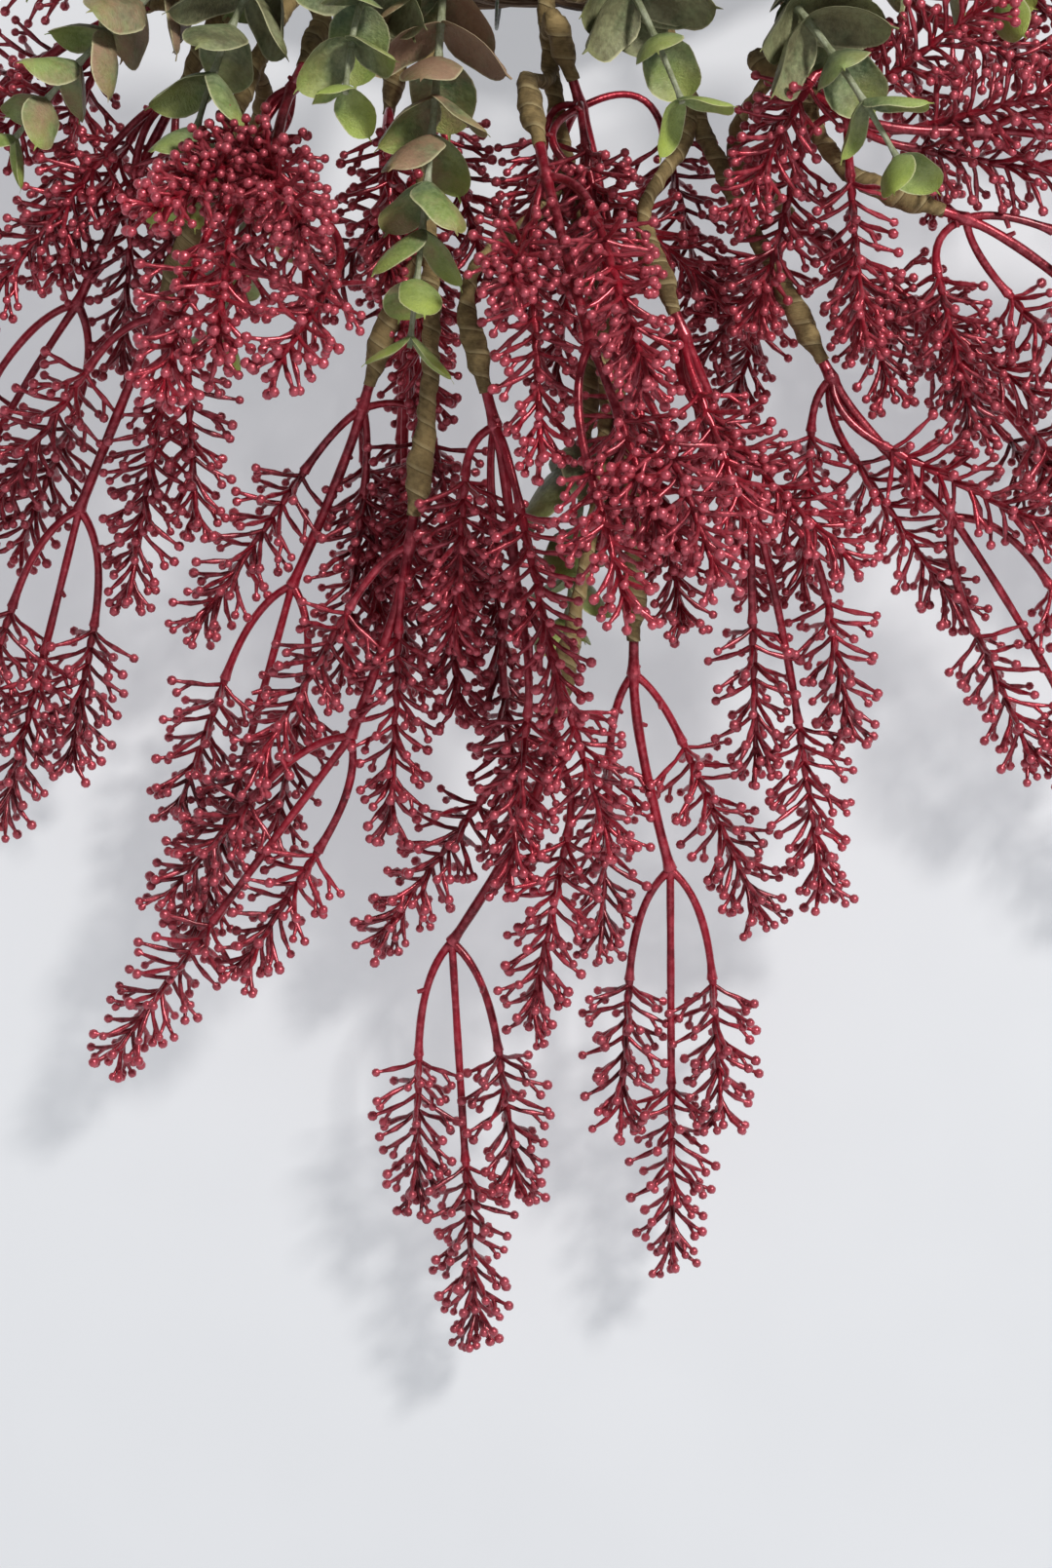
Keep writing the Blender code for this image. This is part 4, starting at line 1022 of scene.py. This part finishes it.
def stemSkins(sprayName, dice):
    # each stem swells to its sleeve, and the tape runs on over the mouth and thins on to the stalk
    skins = []
    for order, (route, socket) in enumerate(zip(sprayRoutes(sprayName, 6), socketsOf(sprayName))):
        mouth, aim = socket[2], socket[3]
        onSprig = socket[0] in sprigs
        overrun = tapeLook["overrun"] * (0.6 if onSprig else 1.0) * dice.uniform(0.8, 1.15)
        path = rounded(evenly(np.vstack([route, mouth + aim * overrun]), tapeLook["step"]), 2)
        left = spanOf(path)[-1] - spanOf(path)
        base = stemRule["radius"] if order == 0 else stemRule["side"]
        peak = tapeLook["bulge"] * (0.86 if onSprig else 1.0) * dice.uniform(0.95, 1.05)
        grip = tapeLook["sprigGrip"] if onSprig else tapeLook["stalkGrip"]
        swell = smooth(0.030, 0.014, left) * smooth(0.0, overrun + 0.004, left)
        radii = base * 0.96 + (peak - base) * swell
        radii = grip + (radii - grip) * smooth(0.0, overrun + 0.002, left)
        skins.append(tapedTube(path, radii, dice))
    return skins


def tailSkins(spray, dice):
    # lies in its lane along the ring's front, then turns to face its stem
    sign = math.copysign(1, spray["leaves"] - spray["tailEnd"])
    near = spray["leaves"] - 3 * sign
    lane = onRing(np.linspace(spray["tailEnd"], near, 24), spray["lane"], laneOrbit)
    away = headingOf(spray)
    mouth = exitPoint(spray) - away * ring["touchGap"] / 2
    pull = np.linalg.norm(mouth - lane[-1]) * 0.5
    ends = (lane[-1], mouth)
    turn = bezier(ends, (lane[-1] + unit(lane[-1] - lane[-2]) * pull, mouth - away * pull), 16)
    path = evenly(np.vstack([lane, turn[1:]]), tapeLook["step"])
    radii = tail["radius"] * 0.93 * smooth(-0.002, 0.003, spanOf(path)) * np.ones(len(path))
    return [tapedTube(path, radii, dice)]


def bendSkins(spray, dice):
    # a straight wound collar over the place where tail and stem meet, thinning at both ends
    exitAt, away = exitPoint(spray), headingOf(spray)
    path = exitAt + away * np.linspace(*tapeLook["collar"], 22)[:, None]
    middle = np.exp(-(np.linspace(-1, 1, 22) / 0.62) ** 4)
    return [tapedTube(path, tapeLook["collarRadius"] + tapeLook["collarSwell"] * middle, dice)]


def title(name):
    # far_left becomes FarLeft
    return "".join(word.title() for word in name.split("_"))


for count, (sprayName, spray) in enumerate(sprays.items()):
    dice = np.random.default_rng(100 + count)
    piece = makePiece(f"tapedTail{title(sprayName)}", tailSkins(spray, dice), [tape],
                      [f"tail_{sprayName}"])
    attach(piece, "ring")
    piece = makePiece(f"tapedStem{title(sprayName)}", stemSkins(sprayName, dice), [tape],
                      [f"stem_{sprayName}"])
    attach(piece, f"spray_{sprayName}")
    piece = makePiece(f"bendTape{title(sprayName)}", bendSkins(spray, dice), [tape])
    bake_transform(piece)
print("taped stems made")


# moulded branches

stalkLook = {"radius": 0.00145, "knob": 0.00062, "knobWidth": 0.0021, "sides": 10, "step": 0.0022,
             "nub": 0.0030, "nubRadii": (0.00095, 0.00062)}
headLook = {
    "spacing": 0.0049, "perWhorl": 4, "first": 0.0016, "reach": 0.0142, "tipReach": 0.0112,
    "lean": (68, 34), "forkAt": 0.60, "twig": 0.00064, "ball": 0.00146, "sides": 7,
    "deepest": 0.095, "rachis": (0.00115, 0.00078), "second": 0.62, "third": 0.12,
}


def stalkSkin(path, dice, knobs=(1.0, 1.0), thin=1.0):
    # r + knob x exp(-(distance / width)^2) at each end of the stalk
    path = evenly(path, stalkLook["step"])
    span = spanOf(path)
    swell = knobs[0] * np.exp(-(span / stalkLook["knobWidth"]) ** 2)
    swell += knobs[1] * np.exp(-((span[-1] - span) / stalkLook["knobWidth"]) ** 2)
    wander = 0.04 * np.sin(span * 310 + dice.uniform(0, 6))
    radii = stalkLook["radius"] * thin * (1 + wander) + stalkLook["knob"] * swell
    share = 0.25 + 0.5 * np.clip(swell, 0, 1)
    return skinOf(tubeRings(path, radii, stalkLook["sides"]), span, tone=0.62, share=share)


def nubSkin(foot, ahead, dice):
    # a short cut-off tab that leans away from the stalk
    ahead = unit(ahead)
    side = unit(np.cross(ahead, [0.3, 1.0, 0.2]))
    out = unit(ahead * 0.5 + rotated(side, ahead, dice.uniform(0, 6.28)))
    path = foot + out * np.linspace(0, stalkLook["nub"] * dice.uniform(0.8, 1.2), 5)[:, None]
    radii = np.linspace(*stalkLook["nubRadii"], 5)
    return skinOf(tubeRings(path, radii, 7), spanOf(path), tone=0.5, share=0.6)


def twigSkin(start, fork, end, axis, ball, tone, kneed):
    # a thin bent twig that ends in a ball: start to fork to end as one tube with a knob at the fork,
    # then rings of the sphere at rising angles and a pole; without a knee it starts at the fork
    sides = headLook["sides"]
    far = unit(end - fork)
    thin = headLook["twig"]
    if kneed:
        near = unit(fork - start)
        sag = axis * 0.0004
        centres = [start, (start + fork) / 2 + sag, fork, (fork + end) / 2]
        aheads = [near, near, unit(near + far), far]
        radii = [thin * 1.15, thin * 0.95, thin * 1.35, thin * 0.9]
        shares = [0.1, 0.2, 0.6, 0.4]
    else:
        centres, aheads = [fork, (fork + end) / 2], [far, far]
        radii, shares = [thin * 1.1, thin * 0.9], [0.4, 0.4]
    for angle in (22, 58, 95, 135):
        turn = math.radians(angle)
        centres.append(end - far * ball[:, None] * math.cos(turn))
        aheads.append(far)
        radii.append(ball * math.sin(turn))
        shares.append(0.75 + 0.25 * math.sin(turn))
    middle = np.stack(centres, 1)
    ahead = np.stack(aheads, 1)
    size = np.stack([np.broadcast_to(radius, len(start)) for radius in radii], 1)
    lean = unit(np.cross(axis, far) + 1e-7)[:, None]
    side = unit(lean - (lean * ahead).sum(-1, keepdims=True) * ahead)
    up = np.cross(ahead, side)
    angle = 2 * math.pi * np.arange(sides) / sides
    around = side[:, :, None] * np.cos(angle)[:, None] + up[:, :, None] * np.sin(angle)[:, None]
    rings = middle[:, :, None] + around * size[:, :, None, None]
    poles = np.stack([centres[0], end + far * ball[:, None]], 1)
    share = np.broadcast_to(np.array(shares)[None, :, None], rings.shape[:3])
    tones = np.broadcast_to(tone[:, None, None], rings.shape[:3])
    return skinOf(rings, spanOf(np.linspace(0, 0.012, len(centres))[:, None]), tone=tones, share=share,
                  poles=poles)


def headSkins(neck, tip, dice):
    # whorls of four leaning branchlets at even steps along a thin rachis, each forking into balls;
    # the tone rises with the distance from the door, so the heads at the back are darker, a painted
    # shade that stands in for the shade deep in the crowd
    look = headLook
    axis = unit(tip - neck)
    length = np.linalg.norm(tip - neck)
    whorls = int((length - 0.004) / look["spacing"]) + 1
    level = np.repeat(np.arange(whorls), look["perWhorl"])
    total = len(level)
    part = level / (whorls - 1)
    first = unit(np.cross(axis, [0.2, 1.0, 0.1]))
    second = np.cross(axis, first)
    spin = np.radians(90 * np.arange(total) + 45 * (level % 2) + dice.normal(0, 8, total)
                      + dice.uniform(0, 90))[:, None]
    radial = np.cos(spin) * first + np.sin(spin) * second
    around = np.cross(axis, radial)
    lean = np.radians(look["lean"][0] + (look["lean"][1] - look["lean"][0]) * part ** 1.4
                      + dice.normal(0, 5, total))[:, None]
    reach = (look["reach"] + (look["tipReach"] - look["reach"]) * part ** 2.2)
    reach = (reach * dice.uniform(0.88, 1.10, total))[:, None]
    foot = neck + axis * (look["first"] + level * look["spacing"])[:, None]
    toward = axis * np.cos(lean) + radial * np.sin(lean)
    fork = foot + toward * reach * look["forkAt"]
    # painted shade: the nearer a twig stands to the door, the lower its tone and the darker its colour
    depth = np.clip((doorPlane - foot[:, 1]) / look["deepest"], 0, 1)
    tone = np.clip(0.85 * depth + dice.uniform(-0.05, 0.30, total), 0, 1)
    ball = look["ball"] * dice.uniform(0.88, 1.10, total)
    start = foot + radial * 0.0002
    wide = unit(toward + radial * 0.40 + around * dice.normal(0, 0.22, total)[:, None])
    skins = [twigSkin(start, fork, fork + wide * reach * 0.40, axis, ball, tone, True)]
    for chance, drop, swing in ((look["second"], 0.75, 0.35), (look["third"], 0.25, -0.9)):
        kept = dice.uniform(0, 1, total) < chance
        turned = around * (dice.normal(0, 0.25, total) + swing)[:, None]
        low = unit(toward * 0.8 + axis * drop + turned)
        far = fork + low * reach * 0.36 * dice.uniform(0.85, 1.15, total)[:, None]
        skins.append(twigSkin(start[kept], fork[kept], far[kept], axis, ball[kept] * 0.94, tone[kept],
                              False))
    steps = np.linspace(0, 1, 2 * whorls + 3)
    zigzag = 0.00022 * np.sin(np.arange(len(steps)) * math.pi / 2)[:, None] * first
    path = neck + (tip - neck) * steps[:, None] * 0.97 + zigzag * (steps > 0)[:, None]
    thick = look["rachis"][0] + (look["rachis"][1] - look["rachis"][0]) * steps
    thick = thick * (1 + 0.18 * np.cos(np.arange(len(steps)) * math.pi))
    skins.append(skinOf(tubeRings(path, thick, 8), spanOf(path), tone=0.6, share=0.2))
    ends = [np.atleast_2d(point) for point in (path[-1] - axis * 0.001, path[-1], tip + axis * 0.0008)]
    skins.append(twigSkin(*ends, axis, np.array([look["ball"]]), np.array([0.7]), False))
    return skins


def branchSkins(name, dice):
    # stalk from the socket to the knot, on to the fork, then the bowed arms with their heads
    start, knot = place(branches[name][2]), place(branches[name][3])
    aim = unit(knot - start)
    fork = dots[arms[name][0][0]]
    between = bow(knot, knot + aim * np.linalg.norm(fork - knot) * 0.3, fork, 16)
    plug = np.linspace(start - aim * (stemRule["depth"] - 0.0005), knot, 9)
    skins = [stalkSkin(plug, dice, (0.0, 1.0), 1.04), stalkSkin(between, dice)]
    skins.append(nubSkin(between[5], between[6] - between[5], dice))
    skins.append(nubSkin(knot - aim * 0.003, aim, dice))
    for order, (rootDot, neckDot, tipDot) in enumerate(arms[name]):
        root, neck, tip = dots[rootDot], dots[neckDot], dots[tipDot]
        out = unit(tip - neck)
        handle = neck - out * np.linalg.norm(neck - root) * (0.45 if order == 0 else 0.7)
        path = bow(root, handle, neck, 18)
        skins.append(stalkSkin(path, dice, (0.3, 0.75), 0.80))
        if dice.uniform() < 0.5:
            skins.append(nubSkin(path[9], path[10] - path[9], dice))
        skins += headSkins(neck, tip, dice)
    for near, far in innerHeads.get(name, []):
        neck, tip = place(near), place(far)
        handle = neck - unit(tip - neck) * np.linalg.norm(neck - knot) * 0.7
        skins.append(stalkSkin(bow(knot, handle, neck, 14), dice, (0.3, 0.75), 0.74))
        skins += headSkins(neck, tip, dice)
    return skins


for count, name in enumerate(branches):
    dice = np.random.default_rng(200 + count)
    piece = makePiece(f"branch{title(name)}", branchSkins(name, dice), [plum],
                      [f"branch_{name}"])
    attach(piece, f"spray_{branches[name][0]}")
print("branches made")


# leaf sprigs

leafLook = {
    "flushed": ("tassel", "tuck", "wave"), "length": 0.0225, "width": 0.0185, "thick": 0.00055,
    "cup": 0.42, "curl": 0.26, "sides": 14, "foot": (0.07, 0.17), "node": 0.00035, "nodeWidth": 0.0014,
    "stations": (0, 0.02, 0.07, 0.15, 0.26, 0.39, 0.53, 0.66, 0.77, 0.86, 0.93, 0.975, 1.0, 1.04, 1.09),
}


def leafSkins(leaves, dice):
    # half width W (1 - |2u - 1|^p)^q with a pointed tip; the section is a thin lens, cupped by v^2
    # and curled along the blade by u^2, with a slow wave in its rim
    look = leafLook
    count = len(leaves)
    foot, out, _, size, along = (np.array(column) for column in zip(*leaves))
    facing = unit(along - out * (along * out).sum(-1, keepdims=True))
    side = np.cross(facing, out)
    u = np.array(look["stations"])
    body = np.clip(1 - np.abs(2 * np.clip(u, 0, 1) ** 0.9 - 1) ** 2.4, 0, 1) ** 0.60
    halfWidth = np.maximum(look["width"] / 2 * body, 0.00055 * (u < 0.5))
    halfWidth = np.maximum(halfWidth, 0.0006 * smooth(1.13, 0.97, u))
    angle = 2 * math.pi * np.arange(look["sides"]) / look["sides"]
    v, rise = np.cos(angle), np.sin(angle)
    phase = dice.uniform(0, 6.28, (count, 1, 1))
    scale = (size * dice.uniform(0.92, 1.08, count))[:, None, None]
    wave = 0.05 * np.sin(9 * u[:, None] + phase + 2 * v)
    spreadOut = halfWidth[:, None] * v * (1 + wave)
    cup = look["cup"] * halfWidth[:, None] * v ** 2 * dice.uniform(0.5, 1.2, (count, 1, 1))
    curl = look["curl"] * look["length"] * (u[:, None] ** 2) * dice.uniform(0.5, 1.4, (count, 1, 1))
    ruffle = 0.0005 * np.sin(8 * u[:, None] + phase * 1.7) * np.abs(v)
    slim = np.clip(halfWidth / 0.003, 0.25, 1)[:, None]
    height = cup + curl + ruffle + look["thick"] / 2 * rise * slim - 0.0006 * (1 - np.abs(v)) * slim
    rings = (foot[:, None, None] + out[:, None, None] * (look["length"] * u[:, None] * scale)[..., None]
             + side[:, None, None] * (spreadOut * scale)[..., None]
             + facing[:, None, None] * (height * scale)[..., None])
    share = np.broadcast_to(np.abs(v), rings.shape[:3])
    tone = np.clip(0.15 + 0.85 * (1 - size) / 0.35 + dice.normal(0, 0.2, count), 0, 1)
    tones = np.broadcast_to(tone[:, None, None], rings.shape[:3])
    across = 0.5 + 0.5 * np.cos(2 * math.pi * np.arange(look["sides"] + 1) / look["sides"])
    return skinOf(rings, u, tone=tones, share=share, around=across, look=1)


def sprigSkins(name, dice):
    # a tapering stem swollen at each leaf pair, and its leaves
    row = sprigs[name]
    start, bend, end = (place(spot) for spot in row[2:])
    aim = unit(bend - start)
    plug = start - aim * (stemRule["depth"] - 0.0005)
    path = evenly(np.vstack([plug, bow(start, bend, end, 60)]), 0.0016)
    span = spanOf(path)
    leaves = sprigLayout(row, leafLook["foot"])
    feet = np.array([item[0] for item in leaves[::2]])
    near = np.linalg.norm(path[:, None] - feet[None], axis=2).min(axis=1)
    swell = leafLook["node"] * np.exp(-(near / leafLook["nodeWidth"]) ** 2)
    radii = sprigRule["stem"] * (1.15 - 0.50 * span / span[-1]) + swell
    return [skinOf(tubeRings(path, radii, 9), span, tone=0.5), leafSkins(leaves, dice)]


for count, name in enumerate(sprigs):
    dice = np.random.default_rng(300 + count)
    leafLooks = [sprigSkin, flushedLeaf if name in leafLook["flushed"] else greenLeaf]
    piece = makePiece(f"sprig{title(name)}", sprigSkins(name, dice), leafLooks,
                      [f"sprig_{name}"])
    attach(piece, f"spray_{sprigs[name][0]}")
print("sprigs made")


# stage, lights and camera

stageLook = {"wall": 0.0268, "floor": -1.35, "half": 3.2, "ahead": 3.5, "turn": 0.35,
             "dark": (0.335, 0.34, 0.35, 1), "light": (0.37, 0.375, 0.385, 1), "drift": 2.2}


def backdrop():
    # a wall profile that turns through a quarter circle into a floor, carried across the width
    turn = np.radians(np.linspace(0, 90, 13))
    wall, low, bend = stageLook["wall"], stageLook["floor"], stageLook["turn"]
    curve = wall - bend + bend * np.cos(turn)
    depth = np.concatenate([[wall, wall], curve, [wall - stageLook["ahead"]]])
    height = np.concatenate([[2.2, 0.5], low + bend - bend * np.sin(turn), [low]])
    across = np.linspace(-stageLook["half"], stageLook["half"], 9)
    grid = np.stack(np.broadcast_arrays(across[None, :], depth[:, None], height[:, None]), -1)
    index = np.arange(grid.shape[0] * grid.shape[1]).reshape(grid.shape[:2])
    faces = np.stack([index[:-1, :-1], index[1:, :-1], index[1:, 1:], index[:-1, 1:]], -1)
    mesh = bpy.data.meshes.new("backdrop")
    mesh.from_pydata(grid.reshape(-1, 3).tolist(), [], faces.reshape(-1, 4).tolist())
    mesh.shade_smooth()
    return mesh


def wallPaintAndGlow():
    # plain pale paint, seen through from behind; it also glows a little, a painted light that pales the
    # shadows on it
    look, tree, inputs, where = newLook("wallPaintAndGlow", 0.75, {
        "Specular IOR Level": 0.25, "Emission Color": (0.92, 0.95, 1.0, 1), "Emission Strength": 0.45})
    colour = driftOf(tree, where, stageLook, "dark", "light")["Color"]
    tree.links.new(colour, inputs["Base Color"])
    behind = tree.nodes.new("ShaderNodeNewGeometry").outputs["Backfacing"]
    clear = tree.nodes.new("ShaderNodeBsdfTransparent")
    solid = tree.nodes["Principled BSDF"].outputs[0]
    mixer = addNode(tree, "ShaderNodeMixShader", {0: behind, 1: solid, 2: clear.outputs[0]})
    tree.links.new(mixer.outputs[0], tree.nodes["Material Output"].inputs["Surface"])
    return look


wallMesh = backdrop()
wallMesh.materials.append(wallPaintAndGlow())
wall = bpy.data.objects.new("backdrop", wallMesh)
bpy.context.scene.collection.objects.link(wall)

lights = {
    "key": {"at": (0.95, -1.55, 0.35), "size": 0.34, "power": 36.0, "colour": (1.0, 0.975, 0.94)},
    "fill": {"at": (-1.5, -1.6, -0.4), "size": 1.6, "power": 1.3, "colour": (0.93, 0.96, 1.0)},
    "low": {"at": (0.2, -1.3, -1.25), "size": 1.2, "power": 1.2, "colour": (1.0, 1.0, 1.0)},
}
middlePoint = Vector((0.0, -0.02, -0.55))
for name, row in lights.items():
    lamp = bpy.data.lights.new(name, "AREA")
    lamp.shape = "DISK"
    lamp.size = row["size"]
    lamp.energy = row["power"]
    lamp.color = row["colour"]
    holder = bpy.data.objects.new(name, lamp)
    holder.location = row["at"]
    holder.rotation_euler = (middlePoint - Vector(row["at"])).to_track_quat("-Z", "Y").to_euler()
    bpy.context.scene.collection.objects.link(holder)

world = bpy.data.worlds.new("studio")
bpy.context.scene.world = world
world.use_nodes = True
world.node_tree.nodes["Background"].inputs["Color"].default_value = (0.90, 0.94, 1.0, 1)
world.node_tree.nodes["Background"].inputs["Strength"].default_value = 0.13

cameraLook = {"at": (-0.0056, -0.95, -0.6103), "lens": 111.3, "sensor": 36.0}
camera = bpy.data.cameras.new("camera")
camera.sensor_fit = "HORIZONTAL"
camera.sensor_width = cameraLook["sensor"]
camera.lens = cameraLook["lens"]
camera.clip_end = 20.0
viewer = bpy.data.objects.new("camera", camera)
viewer.location = cameraLook["at"]
viewer.rotation_euler = (math.radians(90), 0, 0)
bpy.context.scene.collection.objects.link(viewer)
bpy.context.scene.camera = viewer
bpy.context.scene.view_settings.view_transform = "Standard"
print("stage, lights and camera set")
